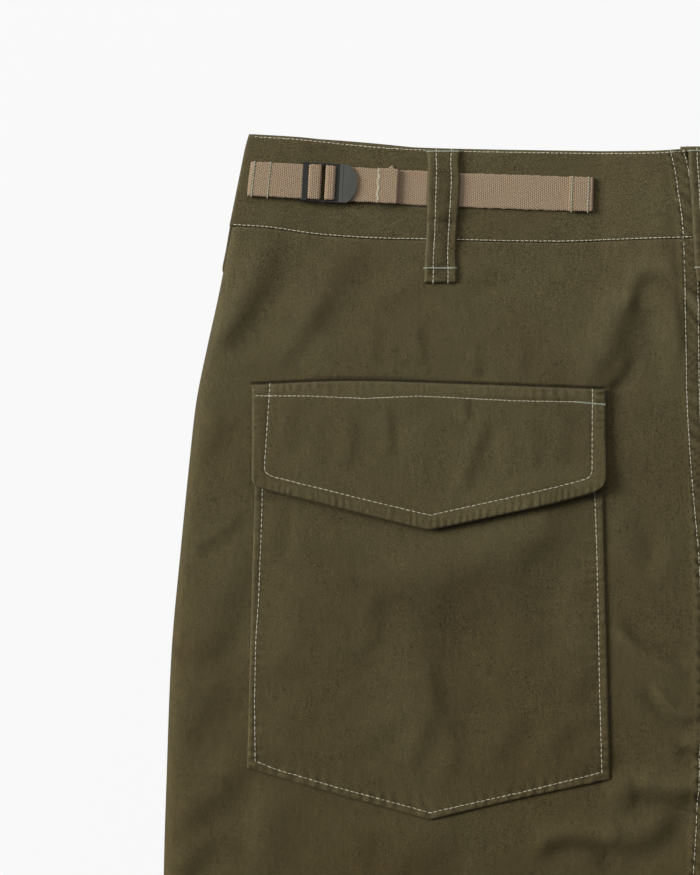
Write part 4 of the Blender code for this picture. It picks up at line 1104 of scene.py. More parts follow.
def pocket_patch(side, name, finish):
    """Patch pocket with a pointed foot and puckered, rounded edges."""
    along = 1.0 - stepped(0.0, 1.0, 0.0038 * WIDER[side], 0.0066 * WIDER[side], 0.05)[::-1, None]
    across_share = stepped(0.0, 1.0, 0.0044 * WIDER[side], 0.007 * WIDER[side], 0.06)
    foot = straight(POCKET_FOOT, mix(248.0, 51.9, across_share))
    down = mix(POCKET_HEAD_DOWN, foot, along)
    across = side * mix(read(POCKET_OUTER, down), read(POCKET_INNER, down), across_share)
    lowest, highest, inward, relief = pocket_surface(side, across, down)
    # Crease ridges and pucker tops are paled as wear and painted highlight; crease troughs, pucker hollows
    # and the stitch row's groove are darkened as painted shade.
    wear_and_shade = 0.04 + 0.10 * body_creases(across, down) + 0.5 * share(inward, 1.6, 0.1)
    wear_and_shade += 0.45 * relief * share(inward, 16.0, 3.0)
    top = grid(across, down, highest)
    return shell(name, top, grid(across, down, lowest), finish, wear_and_shade=wear_and_shade)


POCKET_PITCH = 2.97
POCKET_STITCH = 2.5

for side, hand in HALVES:
    piece = pocket_patch(side, f"pocket_{hand}_patch", twill(f"pocket {hand} twill", 0.04 * side))
    laid(piece, f"pocket_{hand}")
    surface = lambda across, down: pocket_surface(side, across, down)[1]
    rows = [on_cloth(mirrored(side, POCKET_ROW, 3), surface)]
    sewn(f"thread_pocket_{hand}", rows, pitch=POCKET_PITCH, stitch=POCKET_STITCH)


# Pocket flaps: two layers of twill sewn together round the edge, turned out and sewn down
# along the top. The corners are cut off and the foot comes to a point, a little off the pocket.

FLAP_CLOTH = 2.0
FLAP_CURL = 2.1
FLAP_CURL_REACH = 24.0
FLAP_FOOT = (
    (0, 186.4), (0.005, 189.2), (0.014, 190.8), (0.032, 191.9), (0.204, 200), (0.317, 205.4),
    (0.462, 212.3), (0.502, 213.8), (0.545, 212.2), (0.697, 206), (0.855, 199.5), (0.967, 193.8),
    (0.9895, 190.8), (0.998, 187.6), (1, 184.6),
)
FLAP_TOP_ROW = (
    (-242.4, 141.6), (-214.1, 141.8), (-184.9, 143.1), (-155.9, 141.8), (-135.1, 142.7),
    (-104.9, 144.3), (-71.4, 144.9),
)
FLAP_ROW = (
    (-235.5, 135.9), (-238.4, 179.6), (-238, 182.2), (-236.4, 184.1), (-233.2, 185.3),
    (-206.5, 191.9), (-184.9, 197.3), (-150.3, 205.6), (-149.2, 205.7), (-112.4, 197.6),
    (-82.2, 190.8), (-65.4, 186.3), (-63.2, 184.7), (-62.3, 181.8), (-61.9, 138.6),
)
FLAP_TACK = ((-71.4, 144.9), (-55.3, 146.3))
FLAP_CREASE_ROWS = (
    (3.2, 0.45, -172, 147, -170, 160, -169, 176),
    (5, 0.4, -192, 146, -190, 164, -192, 184),
    (6, 0.3, -208, 150, -207, 166, -209, 184),
    (2.8, 0.5, -131, 144, -129, 149, -127, 156),
    (4.2, 0.5, -116, 152, -119, 160, -123, 171, -127, 184, -131, 198),
    (4, 0.3, -112, 188, -111, 172, -112, 156),
    (7, 0.3, -148, 152, -150, 172, -148, 192),
    (5, 0.35, -92, 150, -90, 166, -93, 184),
    (4.5, 0.3, -77, 148, -76, 164, -78, 180),
    (4.5, 0.3, -224, 146, -223, 160, -224, 176),
)
FLAP_CREASES = on_both_halves(FLAP_CREASE_ROWS, 200)


def flap_under(side, across, down, foot):
    """Height of the flap's underside, on the pocket and curling up a little at the foot."""
    outward = side * across
    on_pocket = (CLOTH + PATCH_GAP + 0.35) * share(down, POCKET_HEAD_DOWN - 6.5, POCKET_HEAD_DOWN - 1.0)
    curl = FLAP_CURL * eased(share(foot - down, FLAP_CURL_REACH, 0.0))
    from_side = np.minimum(FLAP_OUTER - outward, outward - FLAP_INNER)
    curl += 0.5 * share(down, 150.0, 185.0) * share(from_side, 22.0, 0.0)
    return body_top(side, across, down) + PATCH_GAP + on_pocket + pocket_loft(outward, side, down) + curl


def flap_surface(side, across, down):
    """Underside, top, distance in from the edge, and relief of a flap."""
    outward = side * across
    across_share = share(outward, FLAP_OUTER, FLAP_INNER)
    head = read(FLAP_HEAD, across_share)
    foot = straight(FLAP_FOOT, across_share)
    from_side = np.minimum(FLAP_OUTER - outward, outward - FLAP_INNER)
    inward = np.minimum(from_side, foot - down)
    edge = np.minimum(inward, down - head)
    relief = 0.55 * seam_puckers(down, from_side, 4.2, 61, 9.0)
    relief += 0.45 * seam_puckers(outward, foot - down, 3.9, 63, 9.0)
    relief += 0.35 * seam_puckers(outward, down - head, 5.0, 65, 9.0)
    relief += 0.12 * unevenness(across, down, 14.0, 22.0, 67)
    relief += creased(FLAP_CREASES, across, down) * share(inward, 4.0, 12.0)
    relief -= pressed([mirrored(side, FLAP_ROW, 4), mirrored(side, FLAP_TOP_ROW, 5)], across, down, 0.4)
    relief += 0.25 * share(edge, 7.2, 5.2)
    lowest = flap_under(side, across, down, foot) + 0.4 * (1.0 - rounded(edge, 1.5))
    thick = np.maximum(FLAP_CLOTH + relief, 0.8) * mix(0.15, 1.0, rounded(edge, 1.5))
    return lowest, lowest + thick, edge, relief


def flap_cloth(side, name, finish):
    """Flap with cut corners, a pointed foot, and a full rounded edge."""
    along = stepped(0.0, 1.0, 0.010 * WIDER[side], 0.017 * WIDER[side], 0.12)[:, None]
    across_share = stepped(0.0, 1.0, 0.0040 * WIDER[side], 0.0044 * WIDER[side], 0.06)
    down = mix(read(FLAP_HEAD, across_share), straight(FLAP_FOOT, across_share), along)
    across = side * mix(FLAP_OUTER, FLAP_INNER, across_share) + 0.0 * down
    lowest, highest, edge, relief = flap_surface(side, across, down)
    # Crease ridges and pucker tops are paled as wear and painted highlight; crease troughs, pucker hollows
    # and the row grooves are darkened as painted shade.
    wear_and_shade = 0.08 + 0.1 * creased(FLAP_CREASES, across, down) + 0.45 * share(edge, 1.9, 0.1)
    wear_and_shade += 0.4 * relief * share(edge, 9.0, 3.0)
    top = grid(across, down, highest)
    return shell(name, top, grid(across, down, lowest), finish, wear_and_shade=wear_and_shade)


FLAP_PITCH = 3.0
TACK_PITCH = 0.36
TACK_WIDTH = 0.95
TACK_THREAD = thread_finish("pale green tack thread", (0.40, 0.44, 0.33))
TACK = {"pitch": TACK_PITCH, "stitch": TACK_WIDTH, "radius": 0.17, "wander": 0.05, "thread": TACK_THREAD}

for side, hand in HALVES:
    piece = flap_cloth(side, f"flap_{hand}_cloth", twill(f"flap {hand} twill", 0.03 * side))
    laid(piece, f"flap_{hand}")
    surface = lambda across, down: flap_surface(side, across, down)[1]
    rows = [on_cloth(mirrored(side, FLAP_ROW, 4), surface)]
    sewn(f"thread_flap_{hand}", rows, pitch=FLAP_PITCH, stitch=POCKET_STITCH)
    sewn(f"thread_flap_top_{hand}", [on_cloth(mirrored(side, FLAP_TOP_ROW, 5), surface)], pitch=2.5)
    tack = on_cloth(mirrored(side, FLAP_TACK, 6), surface, -0.05)
    sewn(f"bartack_flap_{hand}", [tack], turn=1.25, **TACK)


# Belt loops: strips of twill folded to three layers, with two rows of stitches, and tacked
# down at both ends. The three at the back lie on the band, and the one at each side is sewn
# to the front, so that only its outer edge shows past the waist.

LOOP_CLOTH = 1.9
LOOP_WIDTH = 16.0
LOOP_GROOVES = (0.26, 0.74)
LOOP_ROWS = (0.27, 0.71)
LOOP_TACKS = (9.8, 72.9)
SIDE_LOOP_CLOTH = 1.3
SIDE_LOOP_HEAD = 6.0
Station = namedtuple("Station", "down stand_off")
LOOP_OVER_STRAP = (
    Station(8.2, 0.4), Station(11.5, 0.4), Station(20.0, 2.0), Station(42.0, 2.0),
    Station(50.0, 1.2), Station(58.4, 0.9), Station(66.0, 0.5), Station(77.0, 0.4),
    Station(80.5, 0.4),
)
LOOP_ON_BAND = (
    Station(8.4, 0.4), Station(12.0, 0.4), Station(24.0, 0.7), Station(42.0, 0.8),
    Station(58.2, 0.8), Station(68.0, 0.5), Station(77.0, 0.4), Station(80.5, 0.4),
)
Slant = namedtuple("Slant", "head_across foot_across head_width foot_width")
BACK_LOOP = Slant(-141.4, -143.9, 17.0, 16.6)
CENTRE_LOOP = Slant(-2.0, 2.2, 16.5, 15.9)
SIDE_LOOP_EDGE = (
    (6, 245), (25, 251.4), (46.5, 256.9), (63, 259.9), (72.4, 261.7), (74.6, 261.4),
)


def back_top(side, across, down):
    """The highest cloth of the back, waistband or body, at one place."""
    on_band = down < read(WAIST_SEAM, abs(across)) + SEAM_GAP
    return np.where(on_band, band_top(side, across, down), body_top(side, across, down))


def loop_height(stations, slant, mirror, down):
    """Height of a back belt loop's underside along its length, level across its width."""
    along = share(down, stations[0].down, stations[-1].down)
    middle = mirror * mix(slant.head_across, slant.foot_across, along)
    half = mix(slant.head_width, slant.foot_width, along) / 2.0
    highest = np.full(np.shape(down), -np.inf)
    for step in (-1.0, -0.5, 0.0, 0.5, 1.0):
        across = middle + half * step
        for side in (-1, 1):
            here = back_top(side, across, down)
            on_side = (across > read(SEAT_SEAM, down)) == (side > 0)
            highest = np.where(on_side, np.maximum(highest, here), highest)
    ease = np.hanning(9)[1:-1]
    padded = np.pad(highest, 3, mode="edge")
    smooth = np.convolve(padded, ease / ease.sum(), mode="valid")
    return np.maximum(smooth, highest - 0.05) + read(stations, down)


def loop_relief(across_share, down, seed):
    """Two pressed rows, a few cross puckers and soft unevenness; the edges are rounded where the strip is
    built.
    """
    rows = sum(groove((across_share - row) * LOOP_WIDTH, 0.8) for row in LOOP_GROOVES)
    puckers = 0.5 * unevenness(across_share * LOOP_WIDTH, down, 6.0, 3.6, seed)
    return puckers - 0.38 * rows + 0.16 * unevenness(across_share * LOOP_WIDTH, down, 4.0, 12.0, seed + 1)


def belt_loop(name, stations, slant, mirror, finish, seed):
    """A folded strip sewn down at both ends, a little wavy along its edges, and its stitches."""
    line = stepped(stations[0].down, stations[-1].down, 0.5, 1.1, 4.0)
    across_share = stepped(0.0, 1.0, 0.03, 0.06, 0.2)
    down = line[:, None] + 0.0 * across_share
    along = share(down, stations[0].down, stations[-1].down)
    width = mix(slant.head_width, slant.foot_width, along)
    width += 0.9 * unevenness(0.0 * down, down, 5.0, 9.0, seed)
    width += 0.8 * share(abs(down - 25.0), 9.0, 0.0)
    middle = mix(slant.head_across, slant.foot_across, along)
    middle += 0.4 * unevenness(0.0 * down, down, 5.0, 13.0, seed + 5)
    across = mirror * (middle + width * (across_share - 0.5))
    lowest = loop_height(stations, slant, mirror, line)[:, None] + 0.0 * across_share
    from_side = width * np.minimum(across_share, 1.0 - across_share)
    edge = least(from_side, down - line[0], line[-1] - down)
    crossing = 0.7 * groove(down - 47.0 - 2.0 * (across_share - 0.5), 1.2) * (stations is LOOP_OVER_STRAP)
    relief = loop_relief(across_share, down, seed)
    thick = (LOOP_CLOTH + 0.2 + relief - crossing) * mix(0.2, 1.0, rounded(edge, 1.3))
    # Edges and pucker tops are paled as wear and painted highlight; pucker hollows, the row grooves and the
    # crease over the strap's edge are darkened as painted shade, and the middle between the rows is darker.
    wear_and_shade = 0.1 + 0.5 * share(edge, 2.0, 0.1) + 0.5 * relief
    wear_and_shade -= 0.5 * crossing + 0.22 * share(abs(across_share - 0.5), 0.3, 0.18)
    top = grid(across, down, lowest + thick)
    rows = []
    for share_across in LOOP_ROWS:
        column = int(np.argmin(abs(across_share - share_across)))
        rows.append(top[2:-2, column] + (0.0, 0.0, THREAD_RADIUS - 0.12))
    sewn(f"thread_{name}", rows, pitch=2.5)
    tacks = []
    for tack_down in LOOP_TACKS:
        row = int(np.argmin(abs(line - tack_down)))
        tack = top[row, 1:-1] + (0.0, 0.0, THREAD_RADIUS - 0.05)
        ends = tack[[0, -1]] + ((-0.6 * mirror, 0.0, -0.3), (0.3 * mirror, 0.0, -0.3))
        tacks.append(np.concatenate([ends[:1], tack, ends[1:]]))
    sewn(f"bartack_{name}", tacks, turn=1.3, **TACK)
    return shell(name, top, grid(across, down, lowest + 0.0 * across), finish, wear_and_shade=wear_and_shade)


def side_loop(side, name, finish):
    """The belt loop at the side of the front."""
    line = stepped(SIDE_LOOP_HEAD, SIDE_LOOP_FOOT, 0.6, 1.6, 4.0)
    across_share = stepped(0.0, 1.0, 0.04, 0.09, 0.3)
    down = line[:, None] + 0.0 * across_share
    outward = read(SIDE_LOOP_EDGE, down) - SIDE_LOOP_WIDTH * across_share
    from_side = SIDE_LOOP_WIDTH * np.minimum(across_share, 1.0 - across_share)
    edge = least(from_side, down - SIDE_LOOP_HEAD, SIDE_LOOP_FOOT - down)
    soft = rounded(edge, 0.9)
    lowest = 0.3 * (1.0 - soft) + 0.06
    top = grid(side * outward, down, mix(0.7, SIDE_LOOP_CLOTH, soft))
    # The band just inside the loop's visible edge is darkened as painted shadow of the back's edge lying over
    # it.
    wear_and_shade = 0.3 - 1.3 * share(edge, 0.6, 1.3) * share(edge, 6.0, 3.0)
    return shell(name, top, grid(side * outward, down, lowest), finish, wear_and_shade=wear_and_shade)


for side, hand in HALVES:
    name, cloth = f"belt_loop_back_{hand}_strip", twill(f"back loop {hand} twill")
    piece = belt_loop(name, LOOP_OVER_STRAP, BACK_LOOP, -side, cloth, 71 + side)
    laid(piece, f"belt_loop_back_{hand}")
    piece = side_loop(side, f"belt_loop_side_{hand}_strip", twill(f"side loop {hand} twill"))
    laid(piece, f"belt_loop_side_{hand}")
piece = belt_loop("belt_loop_centre_strip", LOOP_ON_BAND, CENTRE_LOOP, 1, twill("centre loop twill"), 75)
laid(piece, "belt_loop_centre")


# Waist adjusters: tan cotton webbing on each half of the back band. A short anchor strap holds
# the buckle, and the long one threads it, runs under the belt loop and ends in a folded tab,
# both stitched to the band.

WEB_THICK = 1.3
WEB_WIDTH = 18.5
WEB_BEND = 0.75
BUCKLE_OUTWARD = 218.4
WEB_RUN = ((61.0, 32.8), (133.0, 30.3), (165.0, 28.7), (247.0, 24.4))
ANCHOR_PATH = (
    (-18, 0.95), (-28.1, 0.95), (-28.1, 2.55), (4.15, 2.55), (4.15, 4.65), (9.85, 4.65),
    (9.85, 0.95), (-16.6, 0.95),
)
STRAP_PATH = (
    (144.2, 2.55), (156.9, 2.55), (156.9, 0.95), (13.15, 0.95), (13.15, 4.65), (17.45, 4.65),
    (17.45, 2.55), (51.5, 2.55), (51.5, 4.15), (40.6, 4.15),
)
WEB_STEP = 0.85
END_SLANT = -0.095
FRAYED_PEAK = 2.1
STRAP_ROWS = ((-26.2, 3.2), (-17.6, 3.2), (145.7, 3.2), (154.6, 3.2))
TAIL_TACK = (41.2, 4.8)


def strap_turn(outward):
    """How far the run of the strap is turned: it falls towards the centre back."""
    return np.arctan2(straight(WEB_RUN, outward - 1.0) - straight(WEB_RUN, outward + 1.0), 2.0)


def strap_place(side, along, sideways, level):
    """Places on a waist adjuster as (across, down, height)."""
    outward = BUCKLE_OUTWARD - along
    middle = straight(WEB_RUN, outward)
    turn = strap_turn(outward)
    base = np.max([band_top(side, side * (outward + step), middle) for step in (-2.5, 0.0, 2.5)], axis=0)
    across = side * (outward + sideways * np.sin(turn))
    return grid(across, middle + sideways * np.cos(turn), base + level)


def rounded_path(corners, bend, steps=6):
    """The corners of a path joined by straight runs, each corner turned on an arc."""
    corners = np.array(corners, float)
    places = [corners[0]]
    for before, corner, after in zip(corners, corners[1:], corners[2:]):
        arriving = (before - corner) / np.linalg.norm(before - corner) * bend
        leaving = (after - corner) / np.linalg.norm(after - corner) * bend
        for turn in np.linspace(0.0, math.pi / 2.0, steps + 1):
            places.append(corner + arriving * (1.0 - math.sin(turn)) + leaving * (1.0 - math.cos(turn)))
    places.append(corners[-1])
    return np.array(places)


def webbing_group():
    """Heavy plain webbing: short floats in columns across the strap, set like bricks."""
    sockets = (("Along", "Float"), ("Sideways", "Float"))
    results = (("Gap", "Float"), ("Height", "Float"))
    tree, given, out = new_group("webbing weave", "ShaderNodeTree", sockets, results)
    column = math_of(tree, "DIVIDE", given["Along"], WEAVE_COLUMN)
    shift = math_of(tree, "MULTIPLY", math_of(tree, "MODULO", math_of(tree, "FLOOR", column), 2.0), 0.5)
    row = math_of(tree, "ADD", math_of(tree, "DIVIDE", given["Sideways"], WEAVE_ROW), shift)
    parts = [math_of(tree, "SUBTRACT", math_of(tree, "FRACT", at), 0.5) for at in (row, column)]
    from_row, from_column = [math_of(tree, "ABSOLUTE", part) for part in parts]
    between = ranged(tree, from_row, 0.24, 0.46, interpolation_type="SMOOTHSTEP")
    ends = ranged(tree, from_column, 0.5, 0.3, 0.15, 1.0, interpolation_type="SMOOTHSTEP")
    tree.links.new(math_of(tree, "MULTIPLY", between, ends), out["Gap"])
    squares = [math_of(tree, "POWER", part, 2.0) for part in (from_row, from_column)]
    crown = math_of(tree, "ADD", *squares)
    tree.links.new(math_of(tree, "SUBTRACT", 1.0, math_of(tree, "MULTIPLY", crown, 2.4)), out["Height"])
    return tree


WEAVE_COLUMN = 1.06
WEAVE_ROW = 1.3
TAN = (0.385, 0.278, 0.180, 1.0)
TAN_PALE = (0.425, 0.322, 0.213, 1.0)
TAN_GAP = (0.215, 0.138, 0.082, 1.0)
WEBBING_GROUP = webbing_group()


def webbing_finish(name):
    """Tan cotton webbing, read from the strap's own run so that the weave turns with it."""
    made, tree, shader = material(name, {"Roughness": 0.92, "Specular IOR Level": 0.2, "Sheen Weight": 0.1})
    run = put(tree, "ShaderNodeUVMap", {}, uv_map="run").outputs[0]
    parts = put(tree, "ShaderNodeSeparateXYZ", {0: run}).outputs
    given = {"Along": parts[0], "Sideways": parts[1]}
    weave = put(tree, "ShaderNodeGroup", given, node_tree=WEBBING_GROUP).outputs
    yarn = noise(tree, run, 1.1, 3.0)
    colour = blended(tree, "MIX", noise(tree, run, 0.09, 2.0), TAN, TAN_PALE)
    colour = blended(tree, "MIX", weave["Gap"], colour, TAN_GAP)
    colour = blended(tree, "MULTIPLY", 1.0, colour, grey(tree, ranged(tree, yarn, 0.25, 0.75, 0.74, 1.16)))
    raised = bumped(tree, plus(tree, weave["Height"], yarn, 0.6), 0.75, 0.0003)
    wire(tree, shader, {"Base Color": colour, "Normal": raised})
    return made


def webbing(side, name, path, finish, seed):
    """A woven strap along a path of along and level, with soft rounded selvedges."""
    line, travelled = evenly(rounded_path(path, WEB_BEND), WEB_STEP)
    runs = np.gradient(line, axis=0)
    runs /= np.linalg.norm(runs, axis=1)[:, None]
    sideways = stepped(-WEB_WIDTH / 2.0, WEB_WIDTH / 2.0, 0.25, 1.3, 2.0)[None, :]
    frayed = 0.22 * unevenness(travelled, 0.0 * travelled, 1.1, 1.0, seed)[:, None]
    selvedge = share(abs(sideways), WEB_WIDTH / 2.0 - 1.0, WEB_WIDTH / 2.0)
    placed = sideways * (1.0 + selvedge * frayed * 2.0 / WEB_WIDTH)
    soft = mix(0.3, 1.0, rounded(WEB_WIDTH / 2.0 - abs(sideways), 0.9))
    half = WEB_THICK / 2.0 * soft + 0.0 * travelled[:, None]
    walls = []
    for offset in (half, -half):
        along = line[:, :1] - runs[:, 1:] * offset
        along = along + END_SLANT * placed * share(along, 0.0, -24.0)
        at_edge = share(sideways, 3.0 - WEB_WIDTH / 2.0, -WEB_WIDTH / 2.0)
        peak = FRAYED_PEAK * groove(along - 48.0, 1.0) * at_edge
        level = line[:, 1:] + runs[:, :1] * offset
        walls.append(strap_place(side, along, placed - peak, level))
    run = travelled[:, None]
    chart = np.stack([run + 0.0 * sideways, sideways + 0.0 * run + 40.0], axis=-1)
    return shell(name, walls[0], walls[1], finish, chart=chart)


for side, hand in HALVES:
    finish = webbing_finish(f"anchor {hand} webbing")
    piece = webbing(side, f"strap_anchor_{hand}_webbing", ANCHOR_PATH, finish, 81 + side)
    laid(piece, f"strap_anchor_{hand}")
    finish = webbing_finish(f"strap {hand} webbing")
    piece = webbing(side, f"strap_{hand}_webbing", STRAP_PATH, finish, 85 + side)
    laid(piece, f"strap_{hand}")
    rows = []
    for along, level in STRAP_ROWS:
        sideways = np.linspace(-WEB_WIDTH / 2.0 + 0.4, WEB_WIDTH / 2.0 + 0.2, 20)
        slant = (0.6 * END_SLANT if along < 0.0 else 0.0) * sideways
        rows.append(strap_place(side, along + slant, sideways, level + 0.2))
    sewn(f"thread_strap_{hand}", rows, pitch=1.7, stitch=1.65, radius=0.33, turn=0.12, thread=TACK_THREAD)
    sideways = np.linspace(-WEB_WIDTH / 2.0 + 0.6, WEB_WIDTH / 2.0 - 0.6, 20)
    tail = strap_place(side, TAIL_TACK[0] + 0.35 * np.sin(sideways * 1.1), sideways, TAIL_TACK[1] + 0.1)
    sewn(f"bartack_strap_{hand}", [tail], pitch=0.42, stitch=1.5, radius=0.2, turn=1.2, wander=0.25)


# Ladder buckles: one matt dark grey moulding each, with two rails, three bars and a
# rounded thumb tab. The anchor strap holds the middle bar and the long strap threads the next.

RAIL_WIDTH = 0.9
TAB_REACH = 29.8
TAB_START = 20.3
TAB_STRAIGHT = 4.0
TAB_TAPER = 1.4
Bar = namedtuple("Bar", "start end low high")
OUTER_BAR = Bar(0.2, 3.2, 3.5, 4.9)
ANCHOR_BAR = Bar(5.1, 8.9, 2.2, 3.7)
LOCKING_BAR = Bar(14.1, 16.5, 2.2, 3.7)
RAIL = Bar(0.0, 21.5, 2.0, 4.3)
TAB = Bar(TAB_START, TAB_REACH, 3.5, 4.95)
TAB_RIB = Bar(TAB_START + 1.3, TAB_START + 1.8, 4.6, 5.1)
# A low dark bar under the start of the tab, in the painted-shade frame finish, set where the gap under the
# tab falls into shade.
SHADE_BAR_UNDER_TAB = Bar(18.3, 20.7, 3.35, 4.2)


def moulding_finish(name, colour, paler, rubbed_colour):
    """Matt dark grey moulding with fine grain and rubbed edges."""
    made, tree, shader = material(name, {"Specular IOR Level": 0.11})
    marks = noise(tree, object_places(tree), 340.0, 4.0)
    edges = tree.nodes.new("ShaderNodeNewGeometry").outputs["Pointiness"]
    colour = blended(tree, "MIX", marks, colour, paler)
    colour = blended(tree, "MIX", ranged(tree, edges, 0.52, 0.60, 0.0, 0.5), colour, rubbed_colour)
    rough = ranged(tree, marks, 0.3, 0.7, 0.5, 0.68)
    raised = bumped(tree, noise(tree, object_places(tree), 2600.0, 3.0), 0.35, 0.0001)
    wire(tree, shader, {"Base Color": colour, "Roughness": rough, "Normal": raised})
    return made


def mesh_of(name, built, finishes):
    """The mesh of what was built, with its finishes."""
    mesh = bpy.data.meshes.new(name)
    built.to_mesh(mesh)
    built.free()
    for finish in finishes:
        mesh.materials.append(finish)
    return mesh


def moulded(built, outline, low, high, bevel):
    """A plate of the buckle between two levels, its edges rounded."""
    upper = [built.verts.new((along, sideways, high)) for along, sideways in outline]
    lower = [built.verts.new((along, sideways, low)) for along, sideways in outline]
    faces = [built.faces.new(upper), built.faces.new(lower[::-1])]
    for index in range(len(outline)):
        following = (index + 1) % len(outline)
        faces.append(built.faces.new((upper[index], lower[index], lower[following], upper[following])))
    edges = {edge for face in faces for edge in face.edges}
    edges = [edge for edge in edges if edge.calc_face_angle(0.0) > 0.6]
    bmesh.ops.bevel(built, geom=edges, offset=bevel, segments=3, profile=0.6, affect="EDGES")


def block(bar, half_low, half_high):
    return [(bar.start, half_low), (bar.end, half_low), (bar.end, half_high), (bar.start, half_high)]


def ladder_buckle(side, name):
    """Rails, bars and tab in the buckle's own frame, then set on the run of the strap."""
    inner = WEB_WIDTH / 2.0 + SEAM_GAP
    outer = inner + RAIL_WIDTH
    built = bmesh.new()
    moulded(built, block(RAIL, -outer, -inner), RAIL.low, RAIL.high, 0.4)
    moulded(built, block(RAIL, inner, outer), RAIL.low, RAIL.high, 0.4)
    for bar in (OUTER_BAR, ANCHOR_BAR, LOCKING_BAR):
        moulded(built, block(bar, -outer + 0.3, outer - 0.3), bar.low, bar.high, 0.5)
    half = outer - 0.2
    shoulder = TAB.start + TAB_STRAIGHT
    outline = [(TAB.start, -half), (shoulder, -half)]
    for turn in np.linspace(-math.pi / 2.0, math.pi / 2.0, 25)[1:-1]:
        outline.append((shoulder + (TAB.end - shoulder) * math.cos(turn) ** TAB_TAPER, half * math.sin(turn)))
    outline += [(shoulder, half), (TAB.start, half)]
    moulded(built, block(SHADE_BAR_UNDER_TAB, -outer + 0.3, outer - 0.3), SHADE_BAR_UNDER_TAB.low, SHADE_BAR_UNDER_TAB.high, 0.2)
    frame_faces = len(built.faces)
    moulded(built, outline, TAB.low, TAB.high, 0.45)
    moulded(built, block(TAB_RIB, -half + 0.8, half - 0.8), TAB_RIB.low, TAB_RIB.high, 0.2)
    # The rails, bars and the bar under the tab take a much darker copy of the tab's finish, as painted shade
    # under the webbing.
    for number, face in enumerate(built.faces):
        face.material_index = int(number >= frame_faces)
    middle = float(straight(WEB_RUN, BUCKLE_OUTWARD))
    turn = float(strap_turn(BUCKLE_OUTWARD))
    base = float(band_top(side, side * (BUCKLE_OUTWARD - TAB_REACH), middle))
    for vertex in built.verts:
        along, sideways, level = vertex.co
        outward = BUCKLE_OUTWARD - along * math.cos(turn) + sideways * math.sin(turn)
        down = middle + along * math.sin(turn) + sideways * math.cos(turn)
        vertex.co = Vector((side * outward, OUTSEAM / 2.0 - down, base + level)) * MM
    bmesh.ops.recalc_face_normals(built, faces=built.faces)
    mesh = mesh_of(name, built, (FRAME_PAINTED_SHADE_FINISH, TAB_FINISH))
    mesh.shade_smooth()
    mesh.set_sharp_from_angle(angle=math.radians(40.0))
    return linked(name, mesh)


# The frame finish is the tab's moulding darkened as painted shade; the tab keeps the moulding's own colour.
FRAME_PAINTED_SHADE_FINISH = moulding_finish(
    "buckle frame painted shade", (0.0048, 0.0058, 0.0048, 1.0), (0.0105, 0.0118, 0.0098, 1.0), (0.06, 0.06, 0.055, 1.0)
)
TAB_FINISH = moulding_finish(
    "buckle tab", (0.0415, 0.0435, 0.0385, 1.0), (0.065, 0.067, 0.058, 1.0), (0.13, 0.13, 0.12, 1.0)
)
for side, hand in HALVES:
    piece = ladder_buckle(side, f"buckle_{hand}_moulding")
    fitted(piece, f"buckle_{hand}")


# Waist button: a flat round button of dark moulded resin with a raised rim, sewn through four
# holes at the front closure, where it lies against the surface.

BUTTON_DOWN = 44.0
BUTTON_PROFILE = (
    (0, 1.35), (5.2, 1.4), (5.8, 1.6), (6.3, 1.92), (7, 2), (7.8, 1.9), (8.3, 1.55), (8.5, 1),
    (8.3, 0.45), (7.7, 0.1), (0, 0),
)
HOLE_STEP = 1.6
HOLE_RADIUS = 0.75
BUTTON_CENTRE = (OUTSEAM / 2.0 - BUTTON_DOWN) * MM

resin, tree, shader = material("button resin", {})
places = object_places(tree)
swirl = put(tree, "ShaderNodeTexNoise", {"Vector": places, "Scale": 210.0, "Distortion": 1.6}).outputs[0]
colour = blended(tree, "MIX", swirl, (0.035, 0.027, 0.015, 1.0), (0.12, 0.095, 0.055, 1.0))
centred = put(tree, "ShaderNodeVectorMath", {0: places, 1: (0.0, -BUTTON_CENTRE, 0.0)}).outputs[0]
centred = put(tree, "ShaderNodeVectorMath", {0: centred}, operation="ABSOLUTE").outputs[0]
centred = put(tree, "ShaderNodeVectorMath", {0: centred, 1: (1.0, 1.0, 0.0)}, operation="MULTIPLY").outputs[0]
# The four holes are not cut in the mesh: near-black discs are painted there as the shade inside them.
corner = (HOLE_STEP * MM, HOLE_STEP * MM, 0.0)
from_hole = put(tree, "ShaderNodeVectorMath", {0: centred, 1: corner}, operation="DISTANCE").outputs["Value"]
hole = math_of(tree, "LESS_THAN", from_hole, HOLE_RADIUS * MM)
colour = blended(tree, "MIX", hole, colour, (0.004, 0.003, 0.002, 1.0))
wire(tree, shader, {"Base Color": colour, "Roughness": ranged(tree, swirl, start=0.28, end=0.42)})
built = bmesh.new()
ring = [built.verts.new((out, 0.0, height)) for out, height in BUTTON_PROFILE]
edges = [built.edges.new(pair) for pair in zip(ring, ring[1:])]
bmesh.ops.spin(built, geom=ring + edges, steps=48, cent=(0, 0, 0), axis=(0, 0, 1), angle=2.0 * math.pi)
bmesh.ops.remove_doubles(built, verts=built.verts, dist=0.001)
bmesh.ops.recalc_face_normals(built, faces=built.faces)
for vertex in built.verts:
    vertex.co = Vector((vertex.co.x * MM, BUTTON_CENTRE + vertex.co.y * MM, vertex.co.z * MM))
mesh = mesh_of("waist_button_disc", built, [resin])
mesh.shade_smooth()
button = linked("waist_button_disc", mesh)
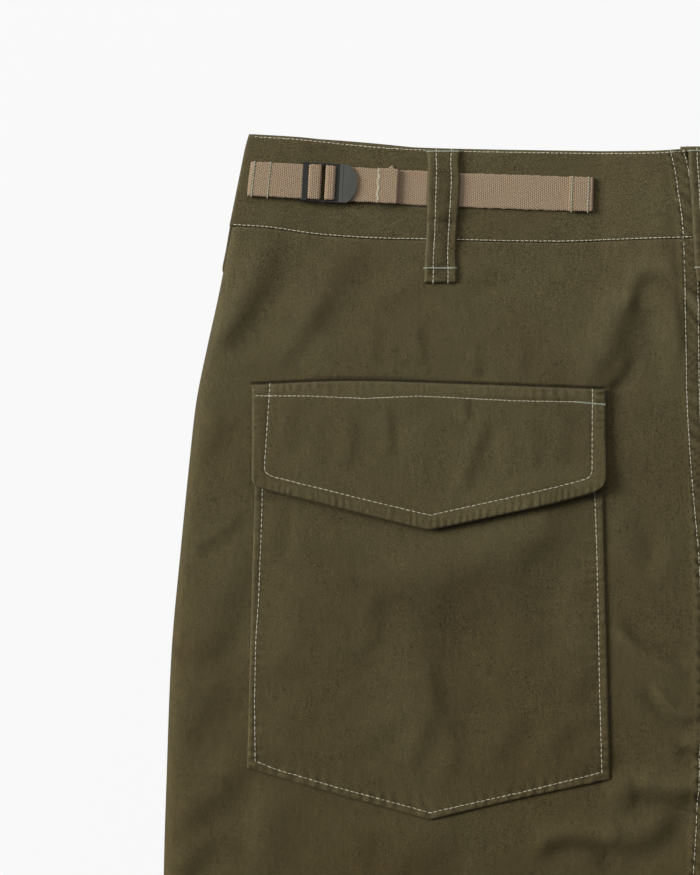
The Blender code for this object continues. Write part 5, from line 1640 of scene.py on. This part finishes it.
fitted(button, "waist_button")


# The surface, the light and the camera: a white table seen from straight above, lit by one
# soft panel high on the left and by the pale room.

CAMERA_ACROSS = -192.43
CAMERA_DOWN = 164.05
FRAME_LENGTH = 473.0
LENS = 100.0
FILM = 36.0
CLOTH_LEVEL = 5.0

paper, tree, shader = material("white table", {"Roughness": 1.0, "Specular IOR Level": 0.0})
seen = tree.nodes.new("ShaderNodeLightPath").outputs["Is Camera Ray"]
glow = grey(tree, ranged(tree, seen, start=0.0, end=0.903))
shade = grey(tree, ranged(tree, seen, start=0.30, end=0.05))
wire(tree, shader, {"Base Color": shade, "Emission Color": glow, "Emission Strength": 1.0})
built = bmesh.new()
bmesh.ops.create_grid(built, x_segments=2, y_segments=2, size=4.0)
for vertex in built.verts:
    vertex.co.z = -0.0005
table = linked("table", mesh_of("table", built, [paper]))


def panel(name, power, size, place, aim):
    """A square soft light that faces a point of the garment, both in metres."""
    light = bpy.data.lights.new(name, "AREA")
    light.energy = power
    light.size = size
    made = linked(name, light)
    made.location = place
    made.rotation_euler = (Vector(aim) - Vector(place)).to_track_quat("-Z", "Y").to_euler()


AIM = (CAMERA_ACROSS * MM, (OUTSEAM / 2.0 - CAMERA_DOWN) * MM, 0.0)
panel("key panel", 440.0, 3.0, (AIM[0] - 5.2, AIM[1] + 1.6, 3.3), AIM)
panel("head panel", 3.4, 0.7, (AIM[0] + 0.05, AIM[1] + 0.75, 0.8), AIM)
room = bpy.data.worlds.new("pale room")
room.use_nodes = True
room.node_tree.nodes["Background"].inputs["Color"].default_value = (1.0, 1.0, 1.0, 1.0)
room.node_tree.nodes["Background"].inputs["Strength"].default_value = 0.12
bpy.context.scene.world = room
bpy.context.scene.view_settings.view_transform = "Standard"

film = bpy.data.cameras.new("camera")
film.lens = LENS
film.sensor_width = FILM
film.clip_start = 0.05
camera = linked("camera", film)
camera.location = (AIM[0], AIM[1], (CLOTH_LEVEL + FRAME_LENGTH * LENS / FILM) * MM)
bpy.context.scene.camera = camera
